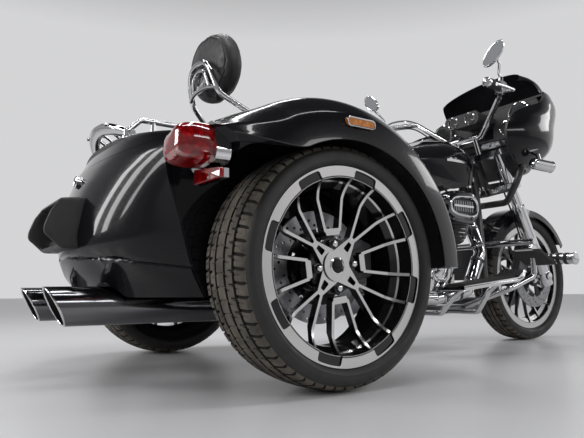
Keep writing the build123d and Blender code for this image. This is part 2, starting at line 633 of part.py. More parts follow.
swing_arm = swing_arm - frame_cradle
shock_high_z = 587.0
shock_body = rod((shock_low_x, -shock_y, shock_low_z), (shock_high_x, -shock_y, shock_high_z), shock_radius - 8)
shock_spring = rod((shock_low_x + 12, -shock_y, shock_low_z + 24), (shock_high_x - 22, -shock_y, shock_high_z - 42), shock_radius)
shock_pins = rod((shock_low_x, -swing_y + swing_half, shock_low_z), (shock_low_x, -shock_y + 20, shock_low_z), 9)
shock_pins = shock_pins + rod((shock_high_x, -shock_y - 20, shock_high_z), (shock_high_x, -rail_y, shock_high_z), 9)
shocks = both(shock_body + shock_spring + shock_pins - swing_arm - frame_cradle)

# Steering: clamps and stem, legs, axle, handlebar
stem = rod((axis_x(head_low_z - 30), 0, head_low_z - 30), (axis_x(head_high_z + 30), 0, head_high_z + 30), steering_stem_radius)


def clamp_plane(z):
    """A plane square to the steering axis at a height."""
    return Plane(origin=(axis_x(z), 0, z), x_dir=(cos(radians(steering_rake)), 0, sin(radians(steering_rake))),
                 z_dir=(-sin(radians(steering_rake)), 0, cos(radians(steering_rake))))


def clamp(z, thick):
    """A fork clamp that reaches from the stem to both legs."""
    forward = (leg_x(z) - axis_x(z)) * cos(radians(steering_rake))
    arm = make_face(FilletPolyline((-38, -40), (forward - 20, -fork_half_spacing - 38), (forward + 38, -fork_half_spacing - 38),
                                   (forward + 40, 0), (forward + 38, fork_half_spacing + 38), (forward - 20, fork_half_spacing + 38),
                                   (-38, 40), radius=20, close=True))
    return extrude(clamp_plane(z) * arm, amount=thick)


lower_clamp = clamp(head_low_z - 40 - clamp_gap, 36)
upper_clamp = clamp(head_high_z + clamp_gap + 5, 26)
leg_low_z = front_tyre_radius - 39.0
leg_mid_z = 640.0
leg_top_z = 905.0
right_leg = rod((leg_x(leg_low_z), -fork_half_spacing, leg_low_z), (leg_x(leg_mid_z), -fork_half_spacing, leg_mid_z), fork_slider_radius)
right_leg = right_leg + rod((leg_x(leg_mid_z), -fork_half_spacing, leg_mid_z), (leg_x(leg_top_z), -fork_half_spacing, leg_top_z), fork_tube_radius)
front_axle = rod((front_axle_x, -fork_half_spacing - 20, front_tyre_radius), (front_axle_x, fork_half_spacing + 20, front_tyre_radius), front_axle_radius)
fork = both(right_leg) + lower_clamp + upper_clamp + stem + front_axle

riser_z = 905.0
bar_radius = 12.7
grip_out = (242.0, -420.0, 1046.0)
grip_in = (372.0, -385.0, 1066.0)
bar_middle_x = axis_x(riser_z) - 30
bar_middle_z = riser_z + 60
riser = rod((axis_x(riser_z) + 6, -55, riser_z - 30), (bar_middle_x, -55, bar_middle_z), 15)
handlebar = bent_tube([grip_out, grip_in, (560, -250, 1095), (bar_middle_x, -90, bar_middle_z),
                       (bar_middle_x, 90, bar_middle_z), (560, 250, 1095),
                       (grip_in[0], -grip_in[1], grip_in[2]), (grip_out[0], -grip_out[1], grip_out[2])], bar_radius, 40)
handlebar = handlebar + both(riser) - fork
grip = rod(grip_out, (360, -388, 1064), 18)
right_control = rod((380, -384, 1066), (420, -352, 1072), 26) + rod((395, -372, 1071), (430, -352, 1125), 9)
lever = bent_tube([(418, -368, 1060), (430, -415, 1052), (330, -440, 1040), (255, -455, 1030)], 6, 20)
hand_controls = both(right_control + lever - handlebar)
grips = both(grip - handlebar)

# Mirrors: tilted ovals with a domed back, on stems that rise from the controls
mirror_centre = Vector(360.0, -371.0, 1208.0)
mirror_plane = Plane(origin=mirror_centre, x_dir=(0.0, -0.756, 0.654), z_dir=(-1, 0, 0))
mirror_shell = loft([mirror_plane * Ellipse(62, 33), mirror_plane.offset(-8) * Ellipse(60, 31),
                     mirror_plane.offset(-22) * Ellipse(40, 16)], ruled=True)
mirror_stem = bent_tube([(430, -352, 1123), (415, -354, 1140), (392, -375, 1172), (374, -376, 1192)], 6, 12)
mirror_plate = mirror_shell
mirrors = both(mirror_plate + mirror_stem - hand_controls)

fender_roof = front_tyre_radius + 38.0
fender_roof_y = front_tyre_width / 2 - 21.0
fender_side_y = front_tyre_width / 2 + 16.0
front_fender_outline = [
    (fender_roof - 47, -fender_side_y), (fender_roof - 13, -fender_side_y + 9), (fender_roof, -fender_roof_y),
    (fender_roof, fender_roof_y), (fender_roof - 13, fender_side_y - 9), (fender_roof - 47, fender_side_y),
    (fender_roof - 47, fender_side_y - 5), (fender_roof - 16, fender_side_y - 13), (fender_roof - 4, fender_roof_y - 2),
    (fender_roof - 4, -fender_roof_y + 2), (fender_roof - 16, -fender_side_y + 13), (fender_roof - 47, -fender_side_y + 5),
]
fender_front_turn = 30.0
fender_span = 132.0
front_fender = revolve(fender_section(front_fender_outline, fender_front_turn), axis=Axis.Y, revolution_arc=-fender_span)
front_fender = front_place * front_fender
bracket_z = 590.0
fender_bracket = block(leg_x(bracket_z) - 15, leg_x(bracket_z) + 35, -fork_half_spacing, -75, bracket_z - 20, bracket_z + 15)
front_fender = front_fender + both(fender_bracket - fork)


def front_caliper():
    """A caliper behind the right fork leg, open round the disc."""
    half = disc_thickness / 2 + caliper_gap
    body = side_plate([(front_axle_x - 165, front_tyre_radius + 21), (front_axle_x - 95, front_tyre_radius + 31),
                       (front_axle_x - 60, front_tyre_radius + 131), (front_axle_x - 120, front_tyre_radius + 141)],
                      -front_disc_y - half - 24, -front_disc_y + half + 4, 12)
    slot = front_place * Rot(90, 0, 0) * Pos(0, 0, front_disc_y) * Cylinder(disc_radius + 6, 2 * half)
    return body - slot


front_calipers = both(front_caliper() - fork)

# Fairing: a hollow nose lofted through level sections
fairing_sections = [
    # height, back x, half width at the back, shoulder x, shoulder half width, nose x
    (800.0, 690.0, 240.0, 800.0, 222.0, 905.0),
    (885.0, 527.0, 300.0, 900.0, 262.0, 995.0),
    (1018.0, 585.0, 302.0, 918.0, 290.0, 1060.0),
    (1100.0, 775.0, 314.0, 945.0, 285.0, 1075.0),
    (1172.0, 850.0, 290.0, 950.0, 258.0, 1050.0),
]
fairing_wall = 14.0


def fairing_section(z, back_x, back_half, shoulder_x, shoulder_half, nose_x, inset=0.0, open_back=0.0):
    back = back_x - open_back
    wide = back_half - inset
    return make_face([
        Line((back, wide, z), (back, -wide, z)),
        ThreePointArc((back, -wide, z), (shoulder_x - inset, -shoulder_half + inset, z), (nose_x - inset, 0, z)),
        ThreePointArc((nose_x - inset, 0, z), (shoulder_x - inset, shoulder_half - inset, z), (back, wide, z)),
    ])


fairing_outer_solid = loft([fairing_section(*row) for row in fairing_sections], ruled=True)
inner_rows = [(790.0,) + fairing_sections[0][1:]] + fairing_sections[1:4] + [(1158.0,) + fairing_sections[4][1:]]
fairing_inner_solid = loft([fairing_section(*row, inset=fairing_wall, open_back=30) for row in inner_rows], ruled=True)
fairing_outer = fairing_outer_solid - fairing_inner_solid
dash_x = 765.0
dash_low_z = 970.0
dash_panel = fairing_inner_solid & block(dash_x, dash_x + 16, -500, 500, dash_low_z, 1200)
dash_pods = None
for pod_y, pod_z, pod_radius in ((-150, 1010, 34), (150, 1010, 34), (-225, 1060, 56), (225, 1060, 56)):
    pod = rod((dash_x - 26, pod_y, pod_z), (dash_x, pod_y, pod_z), pod_radius)
    dash_pods = pod if dash_pods is None else dash_pods + pod
# The instrument binnacle reaches back over the bars, narrow enough to stay clear of them when they turn
binnacle = loft([
    Plane(origin=(dash_x + 6, 0, 1066), x_dir=(0, 1, 0), z_dir=(-1, 0, 0)) * RectangleRounded(150, 40, 14),
    Plane(origin=(660, 0, 1064), x_dir=(0, 1, 0), z_dir=(-1, 0, 0)) * RectangleRounded(174, 50, 18),
    Plane(origin=(606, 0, 1060), x_dir=(0, 1, 0), z_dir=(-1, 0, 0)) * RectangleRounded(200, 64, 24),
], ruled=True)
gauge_wells = None
for gauge_y in (-50, 50):
    well = rod((596, gauge_y, 1060), (612, gauge_y, 1060), 27)
    gauge_wells = well if gauge_wells is None else gauge_wells + well
fairing_inner = dash_panel + (dash_pods & fairing_inner_solid) + binnacle - gauge_wells

lamp_hole_radius = 58.0
headlamp = rod((900, -78, 985), (1052, -78, 985), lamp_hole_radius)
headlamps = both(headlamp) & fairing_outer_solid
headlamps = headlamps - block(0, 930, -500, 500, 0, 2000)
fairing_outer = fairing_outer - both(headlamp)

# Windshield: a short bowed sheet that leans back from the fairing's top
shield_thickness = 6.0


def shield_band(end_x, end_y, end_z, middle_x, middle_z):
    """A thin crescent through the shield's two ends and its middle."""
    slope = (middle_z - end_z) / (middle_x - end_x)
    ends = [(end_x, side * end_y, end_z) for side in (-1, 1)]
    back = [(end_x - shield_thickness, y, end_z - slope * shield_thickness) for _, y, _ in ends]
    middle = (middle_x, 0, middle_z)
    back_middle = (middle_x - shield_thickness, 0, middle_z - slope * shield_thickness)
    return make_face([
        ThreePointArc(ends[0], middle, ends[1]), Line(ends[1], back[1]),
        ThreePointArc(back[1], back_middle, back[0]), Line(back[0], ends[0]),
    ])


windshield = loft([shield_band(850, 255, 1160, 1010, 1170), shield_band(782, 252, 1225, 950, 1262),
                   shield_band(700, 222, 1243, 862, 1350)], ruled=True)
windshield = windshield - fairing_outer_solid

# Tank with a console, seat, backrest and its frame
tank_sections = [
    # x, half width, bottom, side's widest height, top
    (45.0, 78.0, 764.0, 786.0, 812.0),
    (180.0, 128.0, 742.0, 796.0, 858.0),
    (340.0, 152.0, 716.0, 802.0, 902.0),
    (470.0, 152.0, 706.0, 802.0, 916.0),
    (560.0, 112.0, 728.0, 800.0, 872.0),
]


def tank_section(x, half, low, middle, top):
    """A tank section across the machine: flat bottom, straight flanks, crowned top."""
    return make_face([
        Line((x, -half + 14, low), (x, half - 14, low)),
        Line((x, half - 14, low), (x, half, middle)),
        ThreePointArc((x, half, middle), (x, 0, top), (x, -half, middle)),
        Line((x, -half, middle), (x, -half + 14, low)),
    ])


tank_tunnel = side_plate([(0, 600), (0, 745), (120, 770), (480, 836), (640, 850), (640, 600)], -38, 38)
tank_saddle = block(285, 315, -40, 40, 775, 835)
fuel_tank = loft([tank_section(*row) for row in tank_sections], ruled=True) - tank_tunnel
fuel_tank = fuel_tank + (tank_saddle - frame_backbone)
tank_console = side_plate([(150, 835), (150, 866), (290, 912), (470, 934), (505, 912), (470, 890), (270, 870)], -34, 34, 4)
tank_console = tank_console - fuel_tank

seat_profile = [(35, 760), (40, 800), (-20, 775), (-140, 712), (-250, 712), (-330, 790), (-400, 806), (-620, 806), (-625, 722),
                (-432, 722), (-428, 650), (-300, 640), (-60, 660)]
seat = side_plate(seat_profile, -165, 165, 14)
seat = seat - fuel_tank - frame_backbone - frame_cradle - body_solid

pad_centre = Vector(-752.0, 0.0, 1022.0)
pad_plane = Plane(origin=pad_centre, x_dir=(0, 1, 0), z_dir=(1, 0, 0.14))
backrest_pad = extrude(pad_plane * Ellipse(150, 118), amount=70)
backrest_pad = fillet(backrest_pad.edges(), 20)
sissy_tube = 9.5
sissy_half_top = 88.0
sissy_side = bent_tube([(-630, -178, body_top_z), (-630, -178, 800), (-695, -128, 862), (-768, -98, 905),
                        (-775, -sissy_half_top, 1012)], sissy_tube, 24)
sissy_bar = both(sissy_side) + rod((-775, -sissy_half_top, 1010), (-775, sissy_half_top, 1010), sissy_tube)
sissy_bar = sissy_bar + rod((-769, -97, 918), (-769, 97, 918), 7) + block(-768, -748, -60, 60, 930, 1024)
backrest_pad = backrest_pad - sissy_bar

# Side covers, floorboards, foot controls, pegs, guard, signals and small things
side_cover = side_plate([(-60, 440), (-60, 625), (-225, 632), (-250, 470)], -190, -150, 20)
side_cover = side_cover + (rod((-232, -150, 540), (-232, -rail_y, 540), 14) - frame_cradle)

floorboard = side_plate([(17, 242), (17, 258), (330, 292), (372, 322), (380, 312), (338, 276)], -450, -345, 3)
board_arm = None
for arm_x, arm_z in ((80, 246), (290, 270)):
    arm = bent_tube([(arm_x, -385, arm_z), (arm_x, -345, arm_z - 30), (arm_x, -290, 160), (arm_x, -rail_y, 160)], 10, 20)
    board_arm = arm if board_arm is None else board_arm + arm
right_board = floorboard + (board_arm - frame_cradle)

pedal_pad = side_plate([(468, 405), (480, 425), (612, 362), (600, 342)], -420, -340, 5)
pedal_arm = bent_tube([(540, -380, 385), (540, -380, 300), (430, -345, 250), (400, -rail_y, 172)], 11, 25)
foot_controls = both(pedal_pad + (pedal_arm - frame_cradle - right_board - front_header))

peg_bar = rod((620, -340, 448), (620, 340, 448), 14)
peg = rod((640, -350, 374), (640, -500, 368), 22) + bent_tube([(620, -310, 448), (638, -318, 400), (640, -352, 374)], 11, 20)
highway_pegs = peg_bar + both(peg) - frame_cradle

guard_x = 676.0
guard_side = [(guard_x + 44, -240, 812), (guard_x, -236, 730), (guard_x, -180, 641)]
support_bar = bent_tube(guard_side + [(x, -y, z) for x, y, z in guard_side[::-1]], 15, 40)
guard_bracket = rod((guard_x, -60, 641), (622, -58, 641), 10)
engine_guard = support_bar + both(guard_bracket) - frame_cradle - fairing_outer_solid

signal = rod((700, -310, 800), (790, -330, 792), 26)
front_signals = both(signal + rod((745, -315, 800), (745, -300, 850), 9)) - fairing_outer_solid

oil_cooler = block(570, 612, -104, 104, 290, 430) - frame_cradle

amber_marker = side_plate([(-690, 655), (-600, 655), (-600, 677), (-690, 677)], -688, -668, 8) - right_fender

parts = {
    "front_tyre": front_tyre,
    "front_rim": front_rim,
    "front_discs": front_discs,
    "right_tyre": right_tyre,
    "right_rim": right_rim,
    "right_disc": right_disc,
    "left_tyre": mirrored(right_tyre),
    "left_rim": mirrored(right_rim),
    "left_disc": mirrored(right_disc),
    "rear_axle": rear_axle,
    "swing_arm": swing_arm,
    "shocks": shocks,
    "rear_calipers": rear_calipers,
    "fender_right": right_fender,
    "fender_left": mirrored(right_fender),
    "tail_lamps": both(right_lens + right_reflector),
    "lamp_bezels": both(right_bezel),
    "body_tub": body_tub,
    "trunk_lid": trunk_lid,
    "lid_hinges": lid_hinges,
    "trunk_lock": trunk_lock,
    "luggage_rack": luggage_rack,
    "plate_housing": plate_housing,
    "mufflers": both(right_muffler),
    "exhaust_headers": exhaust_headers,
    "crankcase": crankcase,
    "cylinders": cylinders,
    "rocker_covers": rocker_covers,
    "engine_covers": engine_covers,
    "pushrod_tubes": pushrod_tubes,
    "air_cleaner": air_cleaner,
    "frame_backbone": frame_backbone,
    "frame_cradle": frame_cradle,
    "fork": fork,
    "handlebar": handlebar,
    "grips": grips,
    "hand_controls": hand_controls,
    "mirrors": mirrors,
    "front_fender": front_fender,
    "front_calipers": front_calipers,
    "fairing_outer": fairing_outer,
    "fairing_inner": fairing_inner,
    "headlamps": headlamps,
    "windshield": windshield,
    "fuel_tank": fuel_tank,
    "tank_console": tank_console,
    "seat": seat,
    "backrest_pad": backrest_pad,
    "sissy_bar": sissy_bar,
    "side_covers": both(side_cover),
    "floorboards": both(right_board),
    "foot_controls": foot_controls,
    "highway_pegs": highway_pegs,
    "engine_guard": engine_guard,
    "front_signals": front_signals,
    "oil_cooler": oil_cooler,
    "amber_markers": both(amber_marker),
}

# The drawing's datum is moved to the middle of the machine's length, between the muffler tips and the front tyre
box_middle_x = (front_axle_x + front_tyre_radius + muffler_top_x) / 2
for name, shape in parts.items():
    export_step(Pos(-box_middle_x, 0, 0) * shape, "parts/" + name + ".step")
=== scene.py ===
import cmath
import json
import math

import bmesh
import bpy
from mathutils import Matrix, Vector
from mathutils.bvhtree import BVHTree


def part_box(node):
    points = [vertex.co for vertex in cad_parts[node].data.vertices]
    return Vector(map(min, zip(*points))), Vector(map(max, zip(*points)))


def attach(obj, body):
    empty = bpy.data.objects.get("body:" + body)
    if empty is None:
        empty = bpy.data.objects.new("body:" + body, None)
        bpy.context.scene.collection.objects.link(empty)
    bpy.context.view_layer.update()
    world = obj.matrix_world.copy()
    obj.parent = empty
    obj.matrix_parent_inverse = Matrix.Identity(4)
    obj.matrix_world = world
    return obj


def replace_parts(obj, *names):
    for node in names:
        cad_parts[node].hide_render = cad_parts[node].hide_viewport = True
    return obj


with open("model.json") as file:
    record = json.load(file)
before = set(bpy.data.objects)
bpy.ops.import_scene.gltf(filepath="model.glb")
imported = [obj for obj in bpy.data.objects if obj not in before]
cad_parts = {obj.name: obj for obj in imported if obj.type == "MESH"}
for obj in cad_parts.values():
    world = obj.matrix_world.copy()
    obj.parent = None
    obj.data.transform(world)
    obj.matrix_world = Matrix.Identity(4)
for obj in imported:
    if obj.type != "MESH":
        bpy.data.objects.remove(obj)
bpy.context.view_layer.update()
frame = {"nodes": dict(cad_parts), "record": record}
nodes = frame["nodes"]
MM = 0.001

# Camera, fitted to the photograph: place in metres, angles in degrees, focal length in its pixels
camera_place = (-1.5785, -1.7243, 0.2471)
camera_yaw = 55.86
camera_pitch = 7.287
camera_roll = -0.381
focal_px = 560.0
image_width_px = 584.0
sensor_mm = 36.0

# The CAD drawing's datum lies this far behind the frame's. Sizes and places below are in millimetres
drawing_shift = 16.5
sides = (-1, 1)


# Places and paths

def mm(x, y, z):
    """An offset given in millimetres."""
    return Vector((x, y, z)) * MM


def at(x, y, z):
    """A place on the CAD drawing, in the frame's metres."""
    return mm(x - drawing_shift, y, z)


def route(points, side=1):
    """Given places on one side of the machine."""
    return [at(x, side * y, z) for x, y, z in points]


def between(start, end, share):
    return start + (end - start) * share


def middle_of(node):
    low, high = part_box(node)
    return (Vector(low) + Vector(high)) / 2


def size_of(node):
    low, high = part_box(node)
    return Vector(high) - Vector(low)


def oval(count, across=1.0, up=1.0, across_power=1.0, up_power=1.0):
    """Points round a circle or an oval. Powers under one square it off."""
    points = []
    for i in range(count):
        turn = 2 * math.pi * i / count
        c, s = math.cos(turn), math.sin(turn)
        u = math.copysign(abs(c) ** across_power, c)
        v = math.copysign(abs(s) ** up_power, s)
        points.append((across * u, up * v))
    return points


def arc_through(start, middle, end, count):
    """Points on the circle through three points of a plane, from the first to the last."""
    a, b, c = (complex(*p) for p in (start, middle, end))
    w = (c - a) / (b - a)
    centre = a + (b - a) * (w - abs(w) ** 2) / (2j * w.imag)
    turn = cmath.phase((b - centre) / (a - centre)) + cmath.phase((c - centre) / (b - centre))
    points = [centre + (a - centre) * cmath.exp(1j * turn * i / count) for i in range(count + 1)]
    return [(p.real, p.imag) for p in points]


def smooth_path(points, steps=8):
    """A rounded path through given points."""
    pts = [2 * points[0] - points[1]] + points + [2 * points[-1] - points[-2]]
    path = []
    for a, b, c, d in zip(pts, pts[1:], pts[2:], pts[3:]):
        for i in range(steps):
            t = i / steps
            square = (2 * a - 5 * b + 4 * c - d) * t ** 2
            path.append(0.5 * (2 * b + (c - a) * t + square + (3 * b - a - 3 * c + d) * t ** 3))
    return path + [pts[-2]]


def cut_corner(before, corner, after, size, count=4):
    """Points of a rounding in place of a corner between two others, on a plane."""
    b, c, a = Vector(before), Vector(corner), Vector(after)
    start = c + (b - c).normalized() * min(size, 0.45 * (b - c).length)
    end = c + (a - c).normalized() * min(size, 0.45 * (a - c).length)
    shares = [i / count for i in range(count + 1)]
    return [(1 - t) ** 2 * start + 2 * t * (1 - t) * c + t ** 2 * end for t in shares]


def rounded_outline(corners):
    """A closed polygon's points with each corner rounded by its own size: rows of (first, second, size)."""
    points = []
    for i, (u, v, size) in enumerate(corners):
        if size:
            points += cut_corner(corners[i - 1][:2], (u, v), corners[(i + 1) % len(corners)][:2], size)
        else:
            points.append(Vector((u, v)))
    return points


def row_at(rows, key):
    """A row between given rows, on a smooth curve through each column."""
    keys = [row[0] for row in rows]
    i = 0
    while i < len(rows) - 2 and key > keys[i + 1]:
        i += 1
    step = keys[i + 1] - keys[i]
    t = (key - keys[i]) / step

    def slope(j, c):
        low, high = max(j - 1, 0), min(j + 1, len(rows) - 1)
        return (rows[high][c] - rows[low][c]) / (keys[high] - keys[low]) * step

    values = []
    for c in range(1, len(rows[0])):
        rise = rows[i][c] * (2 * t ** 3 - 3 * t ** 2 + 1) + rows[i + 1][c] * (3 * t ** 2 - 2 * t ** 3)
        values.append(rise + slope(i, c) * (t ** 3 - 2 * t ** 2 + t) + slope(i + 1, c) * (t ** 3 - t ** 2))
    return values


def ease(share):
    """A share held between nothing and one, with soft ends."""
    share = min(1.0, max(0.0, share))
    return share * share * (3 - 2 * share)


def tree_of(data):
    return BVHTree.FromPolygons([v.co for v in data.vertices], [p.vertices for p in data.polygons])


def nearest_on(data, points, sink=0.0):
    """The nearest places on a mesh, sunk by a small depth, each with its normal."""
    tree = tree_of(data)
    found = [tree.find_nearest(Vector(p)) for p in points]
    return [(place - normal * sink * MM, normal) for place, normal, face, gap in found]


def seated(data, points, sink=0.0):
    return [place for place, normal in nearest_on(data, points, sink)]


# Meshes

def link(name, data):
    piece = bpy.data.objects.new(name, data)
    bpy.context.scene.collection.objects.link(piece)
    return piece


def bands(size, rings):
    """Faces between neighbouring rings of a stack."""
    return [(j * size + i, j * size + (i + 1) % size, (j + 1) * size + (i + 1) % size, (j + 1) * size + i)
            for j in range(rings - 1) for i in range(size)]


def ends(size, rings):
    """The two faces that close a stack of rings."""
    return [tuple(range(size))[::-1], tuple((rings - 1) * size + i for i in range(size))]


def mesh_piece(name, body, points, faces, picks, materials, sharp=35.0):
    """A piece that rides on a body, smooth but for its sharp edges."""
    data = bpy.data.meshes.new(name)
    data.from_pydata([tuple(p) for p in points], [], faces)
    for material in materials:
        data.materials.append(finishes[material] if isinstance(material, str) else material)
    data.polygons.foreach_set("material_index", picks)
    data.polygons.foreach_set("use_smooth", [True] * len(data.polygons))
    data.update()
    data.set_sharp_from_angle(angle=math.radians(sharp))
    piece = link(name, data)
    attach(piece, body)
    return piece


def skin(name, node, loops, materials, body="chassis", inside=(), drop=None):
    """A closed skin over a stack of loops, in place of a node. Points inside take the second material."""
    size = len(loops[0])
    points = [p for loop in loops for p in loop]
    faces = bands(size, len(loops))
    if drop:
        faces = [face for face in faces if not drop(sum((points[q] for q in face), Vector()) / 4)]
    picks = [int(face[0] % size in inside) for face in faces] + [0, 0]
    piece = mesh_piece(name, body, points, faces + ends(size, len(loops)), picks, materials, sharp=32.0)
    tidy = bmesh.new()
    tidy.from_mesh(piece.data)
    bmesh.ops.recalc_face_normals(tidy, faces=tidy.faces[:])
    tidy.to_mesh(piece.data)
    tidy.free()
    if node:
        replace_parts(piece, node)
    return piece


class Build:
    """Points and faces of one piece, gathered from simple shapes with sizes in millimetres."""

    def __init__(self):
        self.points = []
        self.faces = []
        self.picks = []

    def add(self, points, faces, pick=0):
        start = len(self.points)
        self.points += points
        self.faces += [tuple(start + i for i in face) for face in faces]
        self.picks += [pick] * len(faces)

    def lathe(self, origin, axis, profile, segments=32, pick=0):
        """A body turned about an axis from (radius, height) points. A radius of zero closes it."""
        axis = Vector(axis).normalized()
        side = axis.orthogonal().normalized()
        other = axis.cross(side)
        points = [origin + (axis * h + (side * c + other * s) * r) * MM
                  for r, h in profile for c, s in oval(segments)]
        self.add(points, bands(segments, len(profile)), pick)

    def tube(self, path, radius, segments=12, closed=False, pick=0):
        """A round tube along a list of places."""
        count = len(path)
        points = []
        up = None
        for i, p in enumerate(path):
            before = path[i - 1] if (i > 0 or closed) else p
            after = path[(i + 1) % count] if (i < count - 1 or closed) else p
            along = (after - before).normalized()
            if up is None:
                up = along.orthogonal().normalized()
            up = (up - along * up.dot(along)).normalized()
            side = along.cross(up)
            points += [p + (up * c + side * s) * radius * MM for c, s in oval(segments)]
        if closed:
            total = len(points)
            faces = [tuple(q % total for q in face) for face in bands(segments, count + 1)]
        else:
            faces = bands(segments, count) + ends(segments, count)
        self.add(points, faces, pick)

    def hoop(self, loop, radius, segments=12, pick=0):
        self.tube(loop, radius, segments, True, pick)

    def bar(self, start, end, wide, half_width, half_depth, pick=0):
        """A box-shaped bar between two places. Its width runs along the direction given."""
        along = (end - start).normalized()
        side = Vector(wide)
        side = (side - along * side.dot(along)).normalized()
        across = side * half_width * MM
        deep = along.cross(side) * half_depth * MM
        corners = [-across - deep, across - deep, across + deep, deep - across]
        self.add([start + c for c in corners] + [end + c for c in corners], ends(4, 2) + bands(4, 2), pick)

    def bolt(self, place, axis, radius, height, pick=0):
        """A domed cap screw with a chamfered rim."""
        profile = [(radius, 0), (radius, 0.7 * height), (0.85 * radius, height), (0.45 * radius, height),
                   (0.40 * radius, 0.55 * height), (0, 0.55 * height)]
        self.lathe(place, axis, profile, 14, pick)

    def piece(self, name, body, *materials, slot=None, sharp=35.0):
        return mesh_piece(name, body, self.points, self.faces, self.picks, materials, sharp)


# Materials

def rgba(colour):
    """A colour, or a grey given as one number, with full alpha."""
    return (*colour, 1.0) if isinstance(colour, tuple) else (colour, colour, colour, 1.0)


def add_node(tree, kind, inputs=(), **settings):
    """A shader node with its settings made, and its inputs linked or set."""
    node = tree.nodes.new(kind)
    for key, value in settings.items():
        setattr(node, key, value)
    for socket, value in dict(inputs).items():
        if isinstance(value, bpy.types.NodeSocket):
            tree.links.new(value, node.inputs[socket])
        else:
            node.inputs[socket].default_value = value
    return node


def mixed(tree, factor, first, second, **settings):
    """Two colours or sockets mixed by a factor."""
    inputs = {"Factor": factor}
    for index, value in ((6, first), (7, second)):
        inputs[index] = value if isinstance(value, bpy.types.NodeSocket) else rgba(value)
    return add_node(tree, "ShaderNodeMix", inputs, data_type="RGBA", **settings).outputs[2]


class Finish:
    """A Principled material with short ways to add detail to it."""

    def __init__(self, name, colour, roughness, metallic=0.0, **sockets):
        self.material = bpy.data.materials.new(name)
        self.material.use_nodes = True
        self.tree = self.material.node_tree
        self.shader = self.tree.nodes["Principled BSDF"]
        values = {"base_color": rgba(colour), "roughness": roughness, "metallic": metallic, **sockets}
        for socket, value in values.items():
            self.shader.inputs[socket.replace("_", " ").title().replace("Ior", "IOR")].default_value = value
        self.place = self.add("ShaderNodeTexCoord").outputs["Object"]
        self.height = None

    def add(self, kind, inputs=(), **settings):
        return add_node(self.tree, kind, inputs, **settings)

    def vector(self, operation, first, second=(0, 0, 0)):
        return self.add("ShaderNodeVectorMath", {0: first, 1: second}, operation=operation).outputs

    def calc(self, operation, first, second=0.0):
        return self.add("ShaderNodeMath", {0: first, 1: second}, operation=operation).outputs[0]

    def over(self, first, second):
        return self.calc("GREATER_THAN", first, second)

    def under(self, first, second):
        return self.calc("LESS_THAN", first, second)

    def times(self, first, second):
        return self.calc("MULTIPLY", first, second)

    def noise(self, scale, detail, stretch=None):
        place = self.vector("MULTIPLY", self.place, stretch)[0] if stretch else self.place
        inputs = {"Vector": place, "Scale": scale, "Detail": detail}
        return self.add("ShaderNodeTexNoise", inputs).outputs["Fac"]

    def rings(self, radius, scale, detail):
        inputs = {"W": radius, "Scale": scale, "Detail": detail}
        return self.add("ShaderNodeTexNoise", inputs, noise_dimensions="1D").outputs["Fac"]

    def cells(self, scale, feature="F1"):
        inputs = {"Vector": self.place, "Scale": scale}
        return self.add("ShaderNodeTexVoronoi", inputs, feature=feature).outputs["Distance"]

    def span(self, value, low, high, out_low=0.0, out_high=1.0):
        """A value spread from one range to another, and held inside it."""
        return self.add("ShaderNodeMapRange", {"Value": value, "From Min": low, "From Max": high,
                                               "To Min": out_low, "To Max": out_high}).outputs[0]

    def mixed(self, factor, first, second):
        return mixed(self.tree, factor, first, second)

    def from_axle(self, node):
        """Radius from a wheel's axle, and offset along it, of each point."""
        local = self.vector("SUBTRACT", self.place, tuple(middle_of(node)))[0]
        across = self.vector("MULTIPLY", local, (1, 0, 1))[0]
        return self.vector("LENGTH", across)["Value"], self.parts(local)[1]

    def parts(self, value):
        return self.add("ShaderNodeSeparateXYZ", {0: value}).outputs

    def sideways(self):
        """How far each face looks along the axles."""
        normal = self.add("ShaderNodeNewGeometry").outputs["Normal"]
        return self.vector("DOT_PRODUCT", normal, (0, 1, 0))["Value"]

    def drive(self, name, socket):
        self.tree.links.new(socket, self.shader.inputs[name])

    def colour(self, factor, dark, light):
        self.drive("Base Color", self.mixed(factor, dark, light))

    def tones(self, scale, detail, dark, light):
        self.colour(self.noise(scale, detail), dark, light)

    def worn(self, scale, detail, low, high, smooth, rough):
        self.drive("Roughness", self.span(self.noise(scale, detail), low, high, smooth, rough))

    def bump(self, height, depth, strength):
        inputs = {"Height": height, "Distance": depth * MM, "Strength": strength}
        if self.height is not None:
            inputs["Normal"] = self.height
        self.height = self.add("ShaderNodeBump", inputs).outputs[0]
        self.drive("Normal", self.height)

    def grain(self, scale, detail, depth, strength):
        self.bump(self.noise(scale, detail), depth, strength)


def gloss_black():
    paint = Finish("gloss_black", (0.006, 0.006, 0.008), 0.2, specular_ior_level=0.1, coat_weight=0.7,
                   coat_roughness=0.02, coat_ior=1.34)
    paint.tones(5.0, 4.0, (0.004, 0.004, 0.005), (0.009, 0.009, 0.011))
    paint.worn(140.0, 5.0, 0.3, 0.8, 0.12, 0.26)
    paint.grain(260.0, 2.0, 0.04, 0.35)
    return paint.material


def powder_black():
    paint = Finish("frame_black", 0.02, 0.38, coat_weight=0.25, coat_roughness=0.2)
    paint.tones(24.0, 4.0, 0.014, 0.032)
    paint.worn(90.0, 4.0, 0.2, 0.8, 0.28, 0.5)
    paint.grain(900.0, 2.0, 0.08, 0.5)
    return paint.material


def moulded_black():
    plastic = Finish("trim_black", 0.03, 0.5)
    plastic.tones(18.0, 3.0, (0.02, 0.02, 0.021), (0.04, 0.04, 0.041))
    plastic.worn(60.0, 4.0, 0.3, 0.7, 0.4, 0.62)
    plastic.bump(plastic.cells(1400.0), 0.12, 0.6)
    return plastic.material


